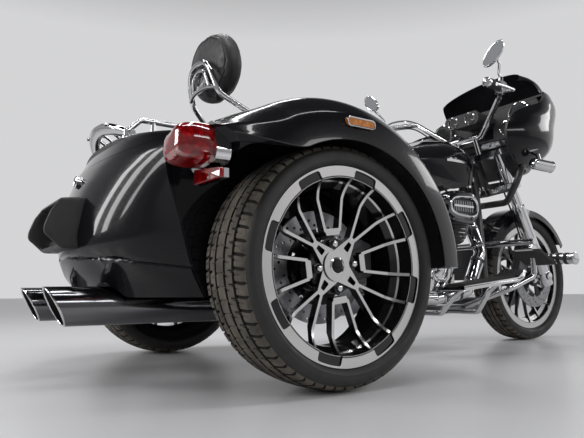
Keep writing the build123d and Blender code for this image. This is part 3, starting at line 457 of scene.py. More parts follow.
def engine_black():
    """Wrinkle coat, with the outer edges of the fins machined bright."""
    coat = Finish("engine_black", (0.03, 0.03, 0.032), 0.5)
    side = coat.calc("ABSOLUTE", coat.parts(coat.place)[1])
    fin_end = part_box("cylinders")[1][1]
    flat = coat.over(coat.calc("ABSOLUTE", coat.sideways()), 0.7)
    bright = coat.times(coat.over(side, 0.82 * fin_end), flat)
    black = coat.mixed(coat.noise(40.0, 4.0), (0.018, 0.018, 0.019), (0.045, 0.045, 0.046))
    silver = coat.mixed(coat.noise(300.0, 2.0, (0.2, 1, 4)), (0.50, 0.50, 0.51), (0.68, 0.68, 0.69))
    coat.colour(bright, black, silver)
    coat.drive("Metallic", bright)
    coat.drive("Roughness", coat.span(bright, 0, 1, 0.52, 0.22))
    coat.grain(700.0, 3.0, 0.15, 0.6)
    return coat.material


def chrome():
    metal = Finish("chrome", (0.76, 0.76, 0.77), 0.045, metallic=1.0)
    metal.tones(9.0, 4.0, 0.7144, (0.76, 0.76, 0.772))
    metal.worn(35.0, 6.0, 0.35, 0.75, 0.045, 0.105)
    metal.grain(16.0, 2.0, 0.05, 0.25)
    return metal.material


def satin_black():
    paint = Finish("caliper_metal", (0.05, 0.05, 0.055), 0.35, coat_weight=0.3, coat_roughness=0.15)
    paint.tones(60.0, 3.0, (0.035, 0.035, 0.038), (0.065, 0.065, 0.07))
    paint.grain(1100.0, 2.0, 0.06, 0.5)
    return paint.material


def disc_steel(node):
    """Ground steel with fine rings, round a black carrier. The steel's colour is darkened overall as painted
    shade.
    """
    steel = Finish("disc_steel_" + node, (0.55, 0.55, 0.56), 0.3, metallic=1.0)
    radius = steel.from_axle(node)[0]
    rings = steel.rings(radius, 2600.0, 2.0)
    # The steel's two tones are kept dark as painted shade from inside the wheel; the fine rings in them are
    # real.
    ground = steel.mixed(rings, (0.26, 0.26, 0.27), (0.42, 0.42, 0.43))
    steel.colour(steel.span(radius, 0.1005, 0.1015), (0.035, 0.035, 0.038), ground)
    steel.drive("Roughness", steel.span(rings, 0.2, 0.8, 0.2, 0.42))
    steel.bump(rings, 0.03, 0.5)
    return steel.material


def tread_rubber():
    """Dark rubber with pale dust."""
    rubber = Finish("tyre_tread", (0.07, 0.062, 0.052), 0.85)
    dust = rubber.span(rubber.noise(22.0, 6.0), 0.35, 0.7)
    rubber.colour(dust, (0.055, 0.049, 0.042), (0.150, 0.128, 0.102))
    rubber.worn(80.0, 3.0, 0.3, 0.7, 0.75, 0.95)
    rubber.grain(900.0, 4.0, 0.25, 0.6)
    return rubber.material


def groove_rubber():
    rubber = Finish("tread_groove", (0.012, 0.011, 0.010), 0.92)
    rubber.tones(60.0, 4.0, (0.008, 0.008, 0.007), (0.022, 0.020, 0.018))
    rubber.grain(900.0, 3.0, 0.15, 0.5)
    return rubber.material


def side_rubber(node, low, high):
    """Side wall: dark, with fine moulded rings between two radii near the bead."""
    rubber = Finish("tyre_side_" + node, (0.035, 0.034, 0.033), 0.55)
    radius = rubber.from_axle(node)[0]
    rings = rubber.calc("SINE", rubber.times(radius, 2 * math.pi / 0.0021))
    band = rubber.times(rubber.over(radius, low * MM), rubber.under(radius, high * MM))
    rubber.tones(14.0, 5.0, 0.012, (0.030, 0.028, 0.026))
    rubber.worn(40.0, 4.0, 0.3, 0.7, 0.42, 0.62)
    rubber.bump(rubber.times(rings, band), 0.25, 0.5)
    rubber.grain(500.0, 3.0, 0.08, 0.5)
    return rubber.material


def grip_rubber():
    rubber = Finish("grip_rubber", 0.02, 0.7)
    rubber.tones(120.0, 3.0, 0.014, (0.032, 0.031, 0.03))
    rubber.bump(rubber.cells(900.0), 0.2, 0.7)
    return rubber.material


def cut_alloy(node, outward, zones):
    """Black rim with machined faces in zones of (least radius, greatest radius, least offset)."""
    alloy = Finish("cut_alloy_" + node, (0.62, 0.62, 0.63), 0.2)
    radius, offset = alloy.from_axle(node)
    out = alloy.times(offset, outward)
    bright = None
    for low, high, least in zones:
        zone = alloy.times(alloy.over(radius, low * MM), alloy.under(radius, high * MM))
        zone = alloy.times(zone, alloy.over(out, least * MM))
        bright = zone if bright is None else alloy.calc("MAXIMUM", bright, zone)
    bright = alloy.times(bright, alloy.over(alloy.times(alloy.sideways(), outward), 0.55))
    lines = alloy.rings(radius, 1500.0, 3.0)
    silver = alloy.mixed(lines, (0.55, 0.54, 0.53), (0.78, 0.77, 0.76))
    black = alloy.mixed(alloy.noise(30.0, 4.0), (0.006, 0.006, 0.007), (0.014, 0.014, 0.015))
    alloy.colour(bright, black, silver)
    alloy.drive("Metallic", bright)
    alloy.drive("Roughness", alloy.span(bright, 0, 1, 0.12, 0.24))
    alloy.bump(alloy.times(lines, bright), 0.03, 0.5)
    return alloy.material


def leather():
    """Soft-grained vinyl: fine cells over slow creases."""
    hide = Finish("seat_leather", 0.025, 0.5, sheen_weight=0.08, sheen_roughness=0.5)
    hide.tones(20.0, 4.0, (0.016, 0.016, 0.017), (0.036, 0.035, 0.034))
    hide.worn(55.0, 4.0, 0.3, 0.7, 0.4, 0.58)
    hide.bump(hide.cells(420.0, "DISTANCE_TO_EDGE"), 0.5, 0.4)
    hide.grain(45.0, 5.0, 0.8, 0.35)
    return hide.material


def lens(name, colour, deep, transmission):
    """A clear moulded lens with prism cells behind its face."""
    plastic = Finish(name, colour, 0.06, transmission_weight=transmission, ior=1.49, coat_weight=0.6,
                     coat_roughness=0.02)
    cells = plastic.cells(75.0)
    plastic.colour(plastic.span(cells, 0.1, 0.6), colour, deep)
    plastic.bump(cells, 0.6, 0.35)
    return plastic.material


def smoked_screen():
    screen = Finish("smoked_screen", (0.012, 0.012, 0.014), 0.03, transmission_weight=0.35, ior=1.49)
    screen.worn(8.0, 3.0, 0.3, 0.8, 0.02, 0.05)
    return screen.material


def mirror_glass():
    glass = Finish("mirror_glass", (0.82, 0.84, 0.86), 0.01, metallic=1.0)
    glass.worn(60.0, 4.0, 0.4, 0.8, 0.008, 0.03)
    return glass.material


def tailpipe():
    """Dark chrome outside, soot inside the open tip."""
    pipe = Finish("dark_chrome", (0.18, 0.18, 0.19), 0.12, metallic=1.0)
    local = pipe.parts(pipe.place)
    side = pipe.calc("SUBTRACT", pipe.calc("ABSOLUTE", local[1]), muffler_middle.y)
    rise = pipe.calc("SUBTRACT", local[2], muffler_middle.z)
    radius = pipe.calc("SQRT", pipe.calc("ADD", pipe.calc("POWER", side, 2.0), pipe.calc("POWER", rise, 2.0)))
    inside = pipe.under(radius, muffler_radius - muffler_wall * MM)
    outer = pipe.mixed(pipe.noise(9.0, 4.0), (0.15, 0.15, 0.16), (0.22, 0.22, 0.23))
    pipe.colour(inside, outer, (0.015, 0.014, 0.013))
    pipe.drive("Metallic", pipe.span(inside, 0, 1, 1.0, 0.0))
    pipe.drive("Roughness", pipe.span(inside, 0, 1, 0.12, 0.8))
    return pipe.material


muffler_wall = 3.0
muffler_radius = size_of("mufflers").z / 2
muffler_middle = Vector((0, abs(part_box("mufflers")[0][1]) - muffler_radius, middle_of("mufflers").z))

finishes = {
    "gloss_black": gloss_black(),
    "frame_black": powder_black(),
    "trim_black": moulded_black(),
    "engine_black": engine_black(),
    "chrome": chrome(),
    "dark_chrome": tailpipe(),
    "caliper_metal": satin_black(),
    "tread_groove": groove_rubber(),
    "grip_rubber": grip_rubber(),
    "seat_leather": leather(),
    "red_lens": lens("red_lens", (0.46, 0.002, 0.004), (0.20, 0.0, 0.001), 0.2),
    "amber_lens": lens("amber_lens", (0.9, 0.33, 0.02), (0.6, 0.16, 0.0), 0.25),
    "clear_lens": lens("clear_lens", (0.85, 0.87, 0.9), (0.7, 0.72, 0.75), 0.8),
    "smoked_screen": smoked_screen(),
    "tyre_tread": tread_rubber(),
}
rear_zones = ((0, 39, 47), (39, 222, 43.6), (225, 260, 92))
front_zones = ((0, 32, 60), (32, 226, 10), (228, 260, 47))


def give(node, material):
    """One material for a whole CAD node."""
    part = nodes[node]
    if not part.material_slots:
        part.data.materials.append(None)
    for slot in part.material_slots:
        slot.link = "OBJECT"
        slot.material = material


def dress_nodes():
    for row in frame["record"]["subparts"]:
        if row["material_slot"] in finishes:
            give(row["node"], finishes[row["material_slot"]])
    for node, outward, zones in (("right_rim", -1, rear_zones), ("left_rim", 1, rear_zones),
                                 ("front_rim", -1, front_zones)):
        give(node, cut_alloy(node, outward, zones))
    for node in ("right_disc", "left_disc", "front_discs"):
        give(node, disc_steel(node))


# Rounded edges on mouldings: voxel size and smoothing passes
moulding_edges = (("plate_housing", 3.0, 40), ("front_calipers", 2.6, 7), ("rear_calipers", 2.8, 6),
                  ("tank_console", 2.5, 8), ("side_covers", 3.0, 10))


def round_mouldings():
    """An even remesh that is eased all over, worked by modifiers on the solid's own mesh."""
    for node, voxel, passes in moulding_edges:
        remesh = nodes[node].modifiers.new("even", "REMESH")
        remesh.mode = "VOXEL"
        remesh.voxel_size = voxel * MM
        remesh.use_smooth_shade = True
        smooth = nodes[node].modifiers.new("ease", "SMOOTH")
        smooth.factor = 0.5
        smooth.iterations = passes


# Rear fender section: radius from the axle, place across and corner size, and its radii at the tail's end
fender_rows = [
    (307, 690, 3), (352, 681, 30), (385, 671, 9), (422, 638, 22), (440, 600, 26), (449, 520, 30), (452, 440, 6),
    (372, 440, 0), (372, 651, 8), (311, 678, 3),
]
tail_radii = (440, 456, 470, 479, 487, 496, 500, 398, 398, 415)
tail_start_turn = 117.0
tail_end_turn = 141.0
tail_power = 1.7
fender_steps = 94
rear_axle = at(-665, 0, 309)


def make_fender_skins():
    for node, side in (("fender_right", -1), ("fender_left", 1)):
        loops = []
        for step in range(fender_steps + 1):
            turn = tail_end_turn * step / fender_steps
            share = max(0.0, (turn - tail_start_turn) / (tail_end_turn - tail_start_turn)) ** tail_power
            rows = [(r + (tail - r) * share, y, size) for (r, y, size), tail in zip(fender_rows, tail_radii)]
            lift = math.radians(turn)
            loops.append([rear_axle + mm(r * math.cos(lift), side * y, r * math.sin(lift))
                          for r, y in rounded_outline(rows)])
        size = len(loops[0])
        skin(node + "_skin", node, loops, ["gloss_black", "trim_black"], inside=range(size - 14, size - 4))


# Fairing levels: height, back x, half width there, shoulder x, half width there, nose x
fairing_rows = [
    (800.0, 690.0, 240.0, 800.0, 222.0, 905.0),
    (885.0, 527.0, 300.0, 900.0, 262.0, 995.0),
    (1018.0, 585.0, 302.0, 918.0, 290.0, 1060.0),
    (1100.0, 775.0, 314.0, 945.0, 285.0, 1075.0),
    (1172.0, 850.0, 290.0, 950.0, 258.0, 1050.0),
]
fairing_foot = 800.0
fairing_top = 1172.0
fairing_lip = 1160.0
fairing_wall = 12.0
fairing_steps = 56
nose_start_x = 900.0
deck_bottom = 1148.0
deck_top = 1157.0
slat_pitch = 18.0
headlamp_radius = 58.0
headlamp_y = 78.0
headlamp_z = 985.0
lamp_front = 1150.0
ray_start = 2000.0


def lamp_ring(side, radius, count, x=lamp_front):
    """A circle round a headlamp's middle, in metres, ahead of the nose."""
    ring = oval(count, radius * MM, radius * MM)
    return [(x * MM, side * headlamp_y * MM + y, headlamp_z * MM + z) for y, z in ring]


def fairing_loop(z, inset, count=40):
    """One side's back edge, round the nose, to the other side's back edge at a height."""
    back_x, back_half, shoulder_x, shoulder_half, nose_x = row_at(fairing_rows, z)
    shoulder = (shoulder_x - inset, inset - shoulder_half)
    half = arc_through((back_x, inset - back_half), shoulder, (nose_x - inset, 0), count)
    return half + [(x, -y) for x, y in half[-2::-1]]


def make_fairing_skin():
    """The nose's shell with an opening for each headlamp, and the lamps' rims and rings."""
    loops = []
    for step in range(fairing_steps + 1):
        z = fairing_foot + (fairing_top - fairing_foot) * step / fairing_steps
        rolled = 0.6 * max(0.0, z - fairing_lip) ** 2 / 14
        outer = [at(x, y, z) for x, y in fairing_loop(z, rolled)]
        inner = [at(x, y, min(z, fairing_lip)) for x, y in fairing_loop(z, fairing_wall)]
        loops.append(outer + inner[::-1])

    def in_lamp(p):
        away = math.hypot(abs(p.y) - headlamp_y * MM, p.z - headlamp_z * MM)
        return p.x > nose_start_x * MM and away < headlamp_radius * MM

    size = len(loops[0])
    shell = skin("fairing_skin", "fairing_outer", loops, ["gloss_black", "trim_black"],
                 inside=range(size // 2, size), drop=in_lamp)
    tree = tree_of(shell.data)
    lamps = nodes["headlamps"].data
    rims = Build()
    for side in sides:
        ahead = lamp_ring(side, headlamp_radius + 7, 64, ray_start)
        rims.hoop([tree.ray_cast(Vector(p), Vector((-1, 0, 0)))[0] for p in ahead], 8)
        for reach, thick in ((47, 2.2), (24, 3.5)):
            rims.hoop(seated(lamps, lamp_ring(side, reach, 48), 0.5), thick, 10)
        (place, normal), = nearest_on(lamps, [(lamp_front * MM, side * headlamp_y * MM, headlamp_z * MM)])
        rims.lathe(place, normal, [(20, -1), (17, 3), (11, 5.5), (0, 7)], pick=1)
    rims.piece("headlamp_rims", "chassis", "chrome", "clear_lens")


def make_fairing_deck():
    """The closed top of the nose under the screen, with a row of slats."""
    deck = Build()
    outline = fairing_loop(deck_top - 1, fairing_wall - 3)
    count = len(outline)
    points = [at(x, y, z) for z in (deck_bottom, deck_top) for x, y in outline]
    deck.add(points, ends(count, 2) + bands(count, 2))
    for y in (slat_pitch * i for i in range(-4, 5)):
        deck.bar(at(880, y, deck_top + 1), at(940, y, deck_top + 1), (0, 1, 0), 3, 2)
    deck.piece("fairing_deck", "chassis", "trim_black")


# Tank sections: x, half width, bottom, widest height, top. The tunnel under it: x and height
tank_rows = [
    (45.0, 78.0, 764.0, 786.0, 812.0),
    (180.0, 128.0, 742.0, 796.0, 858.0),
    (340.0, 152.0, 716.0, 802.0, 902.0),
    (470.0, 152.0, 706.0, 802.0, 916.0),
    (560.0, 112.0, 728.0, 800.0, 872.0),
]
tunnel_rows = [(0.0, 745.0), (120.0, 770.0), (480.0, 836.0), (640.0, 850.0)]
tunnel_half = 38.0
tank_steps = 60
tank_foot_inset = 14.0
tank_end_share = 0.05


def make_tank_skin():
    loops = []
    for step in range(tank_steps + 1):
        x = tank_rows[0][0] + (tank_rows[-1][0] - tank_rows[0][0]) * step / tank_steps
        half, low, middle, top = row_at(tank_rows, x)
        (tunnel,) = row_at(tunnel_rows, x)
        end = min(step, tank_steps - step) / tank_steps
        shrink = 1 - 0.2 * max(0.0, 1 - end / tank_end_share) ** 2
        half *= shrink
        top = middle + (top - middle) * shrink
        crown = arc_through((half, middle), (0, top), (-half, middle), 24)
        foot = (half - tank_foot_inset, low)
        flank = [foot] + [(p.x, p.y) for p in cut_corner(foot, (half, middle), crown[2], 26, 6)]
        roof = max(low + 1, min(tunnel, top - 8))
        channel = [(-tunnel_half, low), (-tunnel_half, roof), (tunnel_half, roof), (tunnel_half, low)]
        outline = flank + crown[3:-3] + [(-y, z) for y, z in flank[::-1]] + channel
        loops.append([at(x, y, z) for y, z in outline])
    size = len(loops[0])
    skin("tank_skin", "fuel_tank", loops, ["gloss_black", "trim_black"], inside=range(size - 5, size))


# Painted back of the body: height, x where the side ends, x of the back's middle
body_rows = [
    (232.0, -950.0, -1120.0), (300.0, -985.0, -1175.0), (400.0, -1015.0, -1200.0),
    (592.0, -1062.0, -1152.0), (700.0, -1010.0, -1098.0),
]
body_floor = 232.0
body_half_width = 440.0
body_columns = 120
body_levels = 110
crease_height = 346.0
crease_fall = 38.0
crease_half = 5.0
groove_lift = 0.7
seam_lift = 0.5
body_lift = 3.0
body_ease = 70.0
tunnel_y = 172.0
tunnel_z = 210.0
tunnel_radius = 61.0
seam_rows = ((-1300.0, 596.0), (-765.0, 676.0))

# Lid: the body's back curve, under a crown that falls to the rear corners
lid_front_x = -765.0
lid_half_width = 435.0
lid_hollow_half = 421.0
lid_top_z = 700.0
lid_drop = 40.0
lid_dip = 10.0
crown_start_x = -790.0
crown_length = 230.0
lid_wall = 14.0
hinge_y = 300.0


def on_back(side_x, back_x, y):
    """A place on the arc that runs from side to side through the back's middle."""
    depth = side_x - back_x
    radius = (body_half_width ** 2 + depth ** 2) / (2 * depth)
    return back_x + radius - math.sqrt(radius ** 2 - y ** 2)


def body_back_x(y, z):
    """Where the body's back is at a height beside the lid."""
    (z0, side0, back0), (z1, side1, back1) = body_rows[-2:]
    t = (z - z0) / (z1 - z0)
    return on_back(side0 + (side1 - side0) * t, back0 + (back1 - back0) * t, y)


def seam_height(x):
    (x0, z0), (x1, z1) = seam_rows
    return z0 + (z1 - z0) * (x - x0) / (x1 - x0)


def lid_top(x, y):
    """The lid's height: flat in front, crowned toward the back."""
    back = ease((crown_start_x - x) / crown_length)
    return lid_top_z - lid_drop * back * (y / lid_half_width) ** 2 - lid_dip * back * back


def lid_profile(y):
    """The lid cut along the machine at a place across it: hollow but at its side walls."""
    top_count = 16
    rear_top = body_back_x(y, 660) + 26
    places = [lid_front_x + (rear_top - lid_front_x) * i / top_count for i in range(1, top_count + 1)]
    top = [(x, lid_top(x, y)) for x in places]
    low_z = seam_height(body_back_x(y, 620))
    low_x = body_back_x(y, low_z)
    shoulder = (body_back_x(y, lid_top(rear_top, y) + 2), lid_top(rear_top - 24, y) + 1)
    turn = [(p.x, p.y) for p in cut_corner(top[-1], shoulder, (low_x, low_z), 60, 8)]
    turn_x, turn_z = turn[-1]
    down = []
    for share in (i / 5 for i in range(1, 6)):
        z = turn_z + (low_z - turn_z) * share
        down.append((body_back_x(y, z) * share + (turn_x + (low_x - turn_x) * share) * (1 - share), z))
    front = [(lid_front_x, seam_height(lid_front_x)), (lid_front_x, lid_top_z - 6),
             (lid_front_x - 2, lid_top_z - 2), (lid_front_x - 6, lid_top_z)]
    if abs(y) <= lid_hollow_half:
        rear_in, front_in = low_x + lid_wall, lid_front_x - lid_wall
        inner = [(rear_in, seam_height(rear_in)), (rear_in + 8, lid_top(rear_top, y) - lid_wall)]
        inner += [(x, lid_top(x, y) - lid_wall) for x in (rear_top + 40, -900)]
        inner += [(front_in, lid_top_z - lid_wall), (front_in, seam_height(front_in))]
    else:
        floor = [low_x + (lid_front_x - low_x) * share for share in (0.05, 0.2, 0.4, 0.6, 0.8, 0.95)]
        inner = [(x, seam_height(x)) for x in floor]
    return front + top[1:] + turn[1:] + down + inner


def make_lid_skin():
    """The painted lid, and its chrome hinge knuckles."""
    edge = [lid_hollow_half, lid_hollow_half + 0.1, 428, 433, lid_half_width]
    places = [-y for y in edge[::-1]] + [-410 + 820 * i / 60 for i in range(61)] + edge
    loops = [[at(x, y, z) for x, z in lid_profile(y)] for y in places]
    size = len(loops[0])
    skin("lid_skin", "trunk_lid", loops, ["gloss_black", "trim_black"], "trunk_lid", range(size - 7, size))
    hinges = Build()
    for y in (-hinge_y, hinge_y):
        knuckle = [(6.2, 0), (11, 0), (12, 1), (12, 35), (11, 36), (6.2, 36)]
        hinges.lathe(at(-741, y - 18, 718), (0, 1, 0), knuckle)
        hinges.bar(at(-750, y, 712), at(-823, y, 703), (0, 1, 0), 18, 5)
        for x in (-790, -814):
            hinges.bolt(at(x, y, 711), (0.12, 0, 1), 5, 4)
    hinges.piece("lid_knuckles", "trunk_lid", "chrome")


def body_swell(z, top, crease):
    """How far the paint stands off the plain back: eased in under the seam, with a groove at the crease."""
    swell = seam_lift + body_lift * ease((top - z) / body_ease) + body_lift * (z < crease)
    return groove_lift + (swell - groove_lift) * min(1.0, (abs(z - crease) / crease_half) ** 2)


def make_body_skin():
    """A smooth shell over the body's back, cut away round the muffler tunnels."""
    loops = []
    for i in range(body_columns + 1):
        y = (body_half_width - 0.5) * (2 * i / body_columns - 1)
        offset = abs(abs(y) - tunnel_y)
        low = body_floor
        if offset < tunnel_radius:
            low = max(low, tunnel_z + math.sqrt(tunnel_radius ** 2 - offset ** 2))
        top = seam_height(body_back_x(y, 600)) - 3
        crease = crease_height - crease_fall * (y / body_half_width) ** 2
        plain = []
        for z in (top + (low - top) * k / body_levels for k in range(body_levels + 1)):
            plain.append((on_back(*row_at(body_rows, z), y), z))
        face = [at(x - body_swell(z, top, crease), y, z) for x, z in plain]
        loops.append(face + [at(x + 4, y, z) for x, z in plain[::10]][::-1])
    skin("body_shell", None, loops, ["gloss_black"])


# Tail lamps and reflectors: corners as across, height and size, and steps as x and growth
lamp_corners = [(-648, 536, 42), (-519, 526, 36), (-519, 602, 40), (-634, 626, 46)]
lamp_steps = ((-1030, 0), (-1050, 1), (-1072, 0), (-1088, -3), (-1099, -8), (-1106, -15), (-1110, -23),
              (-1112, -33))
reflector_corners = [(-551, 488, 5), (-551, 524, 5), (-684, 507, 5), (-684, 486, 5)]
reflector_steps = ((-1030, 0), (-1037, 0), (-1039, -2))


def make_lamp_lenses():
    lenses = Build()
    for side in sides:
        for corners, steps in ((lamp_corners, lamp_steps), (reflector_corners, reflector_steps)):
            outline = rounded_outline(corners)
            centre = sum(outline, Vector((0, 0))) / len(outline)
            points = []
            for x, growth in steps:
                grown = [centre + (p - centre) * (1 + growth / (p - centre).length) for p in outline]
                points += [at(x, -side * p.x, p.y) for p in grown]
            size = len(outline)
            lenses.add(points, bands(size, len(steps)) + ends(size, len(steps)))
    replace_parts(lenses.piece("tail_lenses", "chassis", "red_lens", sharp=50.0), "tail_lamps")


# Windscreen bands from foot to top edge: number, end x, end half width, end height, middle x, middle height
shield_rows = [
    (0.0, 846.0, 278.0, 1160.0, 1036.0, 1166.0),
    (1.0, 808.0, 268.0, 1206.0, 984.0, 1232.0),
    (2.0, 776.0, 246.0, 1226.0, 924.0, 1290.0),
    (3.0, 756.0, 214.0, 1230.0, 876.0, 1326.0),
]
shield_steps = 24
shield_columns = 40
shield_thickness = 5.0
shield_bolts = (-190, -100, 0, 100, 190)


def make_windscreen():
    loops = []
    for step in range(shield_steps + 1):
        end_x, end_y, end_z, middle_x, middle_z = row_at(shield_rows, 3 * step / shield_steps)
        front = []
        for turn in (math.pi * (i / shield_columns - 0.5) for i in range(shield_columns + 1)):
            share = math.cos(turn)
            front.append((end_x + (middle_x - end_x) * share, end_y * math.sin(turn),
                          end_z + (middle_z - end_z) * share))
        back = [(x - shield_thickness, y, z - shield_thickness) for x, y, z in front]
        loops.append(route(front + back[::-1]))
    skin("windscreen", "windshield", loops, ["smoked_screen"])
    bolts = Build()
    for y in shield_bolts:
        x = 842 + 158 * math.cos(math.asin(y / 254))
        bolts.bolt(at(x, y, 1182), (0.72, y / 500, 0.7), 6, 5)
    bolts.piece("windscreen_bolts", "chassis", "chrome")


# Backrest bar: steps, radius, segments and one half of its loop, cross bar and inner loop
sissy_loop = ((-630, -178, 700), (-630, -178, 785), (-652, -165, 822), (-700, -128, 866), (-748, -102, 905),
              (-766, -92, 948), (-776, -78, 990), (-782, -52, 1018), (-784, -18, 1026))
sissy_cross = ((-766, -94, 925), (-776, -40, 934))
sissy_inner = ((-770, -62, 934), (-778, -50, 975), (-780, -24, 1000))
sissy_tubes = ((8, 9.5, 16, sissy_loop), (6, 7, 14, sissy_cross), (6, 6, 12, sissy_inner))


def make_sissy_bar():
    bar = Build()
    for steps, radius, segments, half in sissy_tubes:
        bar.tube(smooth_path(route(half) + route(half[::-1], -1), steps), radius, segments)
    bar.bar(at(-766, 0, 936), at(-760, 0, 1018), (0, 1, 0), 34, 4)
    for side in sides:
        bar.lathe(at(-630, side * 178, 699), (0, 0, 1), [(20, 0), (20, 4), (14, 10), (9.5, 16)], 28)
        for z in (952, 1000):
            bar.bolt(at(-772, side * 22, z), (-1, 0, 0), 6, 5)
    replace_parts(bar.piece("sissy_loop", "chassis", "chrome"), "sissy_bar")


# Air cleaner rings: half length, half height, y and material. The bowl under it hangs this far
cleaner_rings = (
    (86, 58, -215, 2), (98, 64, -219, 2), (100, 66, -228, 2), (101, 67, -232, 3), (101, 67, -252, 3),
    (98, 64, -266, 3), (91, 54, -277, 3), (85, 43, -282, 3), (82, 40, -284, 0), (78, 36, -284.5, 0),
    (74, 32, -281, 0), (72, 30, -272, 1), (30, 12, -271, 1),
)
bowl_steps = 28
bowl_drop = 105.0
bowl_rib = 2.2


def make_air_cleaner():
    """A squared oval cover with a slotted recess, on a black back plate, over a ribbed bowl."""
    middle = middle_of("air_cleaner") + mm(0, 0, 6)
    middle.y = 0
    cover = Build()
    size = 72
    rings = []
    for half_x, half_z, y, pick in cleaner_rings:
        rings.append([middle + mm(x, y, z * (1 + 0.12 * x / half_x))
                      for x, z in oval(size, half_x, half_z, 0.55, 0.80)])
    for upper, lower, row in zip(rings, rings[1:], cleaner_rings[1:]):
        cover.add(upper + lower, bands(size, 2), row[3])
    cover.add(rings[-1], [tuple(range(size))], 1)
    cover.add(rings[0], [tuple(range(size))[::-1]], 2)
    for x in range(-56, 57, 14):
        cover.tube([middle + mm(x, -274.5, -22), middle + mm(x, -274.5, 22)], 2.6, 8)
    cover.bar(middle + mm(-58, -276.5, 0), middle + mm(58, -276.5, 0), (0, 0, 1), 4, 3)
    intake = Vector((middle.x, 0, 0)) + mm(16, -216, 560)
    cover.lathe(intake, (0, 1, 0), [(34, 0), (34, 130)], pick=2)
    size = 48
    bowl = []
    for step in range(bowl_steps + 1):
        drop = step / bowl_steps
        swell = math.sqrt(max(0.0, 1 - (1.02 * drop - 0.02) ** 2))
        rib = bowl_rib * (step % 4 < 2 and 5 < step < 26)
        centre = middle + mm(-4, -200, -45 - bowl_drop * drop)
        bowl.append([centre + mm(x, y, 0)
                     for x, y in oval(size, 30 + 62 * swell + rib, 24 + 34 * swell + rib, 0.8, 0.8)])
    for upper, lower in zip(bowl, bowl[1:]):
        cover.add(lower + upper, bands(size, 2), 4)
    cover.add(bowl[-1], [tuple(range(size))[::-1]], 4)
    cover.add(bowl[0], [tuple(range(size))], 4)
    piece = cover.piece("air_cleaner_cover", "chassis", "chrome", "trim_black", "engine_black", "dark_chrome",
                        "gloss_black")
    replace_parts(piece, "air_cleaner")


# Tyre tread: shares of the width, columns of one pitch, and depths in metres
groove_share = (0.10, 0.27)
groove_half_share = 0.019
tread_share = 0.40
columns_per_pitch = 12
groove_depth = 0.0072
sunk_depth = 0.0024


def tread_rows(width):
    """Places across the tread, in metres, with close pairs at each groove's edges."""
    half = tread_share * width
    wide = groove_half_share * width
    rows = [0.0, 0.035 * width, 0.07 * width, half - 0.004, half]
    for share in groove_share:
        middle = share * width
        rows += [middle - wide - 0.0006, middle - wide + 0.0012, middle + wide - 0.0012, middle + wide + 0.0006]
        rows += [middle + wide + 0.022 * width, middle + 0.075 * width, middle + 0.11 * width]
    rows = sorted(set(round(y, 5) for y in rows if y <= half))
    return [-y for y in rows[::-1] if y > 0] + rows


def tread_depth(y, column, width):
    """How deep the pattern is at a place across the tread and a column of the pitch."""
    across = abs(y)
    inner, outer = (share * width for share in groove_share)
    for middle in (inner, outer):
        if abs(across - middle) < groove_half_share * width - 0.0005:
            return groove_depth
    if across > outer:
        if column in (0, 1):
            return 0.0055
        return 0.0025 if column == 6 and across < 0.38 * width else 0.0
    if across > inner:
        if column in (3, 4) and across > 0.5 * (inner + outer):
            return 0.005
        return 0.0035 if column == 9 and across < 0.5 * (inner + outer) else 0.0
    return 0.0035 if column == 7 and across > 0.3 * inner else 0.0


def treaded_tyre(node, body, lip_radius, seat, pitches, slant):
    """A tyre with its tread, in metres: radius and half width of the rim's seat, pitches round and slant."""
    centre = middle_of(node)
    radius = size_of(node).x / 2
    width = size_of(node).y
    tread_half = tread_share * width
    shoulder_r = radius - 0.035 * width
    crown = arc_through((shoulder_r, tread_half), (radius, 0), (shoulder_r, -tread_half), 60)

    def crown_radius(y):
        for (r0, y0), (r1, y1) in zip(crown, crown[1:]):
            if y1 <= y <= y0:
                return r0 + (r1 - r0) * (y0 - y) / (y0 - y1)
        return shoulder_r

    edge = (shoulder_r - 0.009, tread_half + 0.008)
    wall = arc_through((lip_radius + 0.001, seat), ((lip_radius + shoulder_r) / 2, width / 2), edge, 12)
    flank = [((shoulder_r + edge[0]) / 2 + 0.001, (tread_half + edge[1]) / 2 + 0.001, True)]
    flank += [(r, y + 0.0018 * (0.006 < r - lip_radius < 0.016), False) for r, y in wall[::-1]]
    flank.append((lip_radius - 0.02, seat, False))
    rows = [(r, -y, tread) for r, y, tread in flank[::-1]]
    rows += [(crown_radius(y), y, True) for y in tread_rows(width)] + flank
    count = pitches * columns_per_pitch
    points = []
    depths = []
    for r, y, tread in rows:
        shear = slant * abs(y) / tread_half
        for i in range(count):
            depth = tread_depth(y, i % columns_per_pitch, width) if tread else 0.0
            depths.append(depth)
            turn = 2 * math.pi * (i + shear) / count
            points.append(centre + Vector(((r - depth) * math.cos(turn), y, (r - depth) * math.sin(turn))))
    faces = []
    picks = []
    for j in range(len(rows)):
        k = (j + 1) % len(rows)
        for i in range(count):
            n = (i + 1) % count
            face = (j * count + i, k * count + i, k * count + n, j * count + n)
            faces.append(face)
            sunk = sum(depths[corner] for corner in face) / 4 > sunk_depth
            picks.append(2 * sunk if rows[j][2] or rows[k][2] else 1)
    side = side_rubber(node, lip_radius / MM + 16, lip_radius / MM + 40)
    materials = ["tyre_tread", side, "tread_groove"]
    tyre = mesh_piece(node + "_treaded", body, points, faces, picks, materials, 30.0)
    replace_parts(tyre, node)


def make_tyres():
    treaded_tyre("right_tyre", "rear_wheel_right", 0.250, 0.087, 60, 5.0)
    treaded_tyre("left_tyre", "rear_wheel_left", 0.250, 0.087, 60, 5.0)
    treaded_tyre("front_tyre", "front_wheel", 0.254, 0.042, 54, 7.0)


# Wheel caps, lug nuts and axle ends
spoke_turn = 7.0
lug_circle = 57.0
lug_offset = 43.0
cap_offset = 47.0


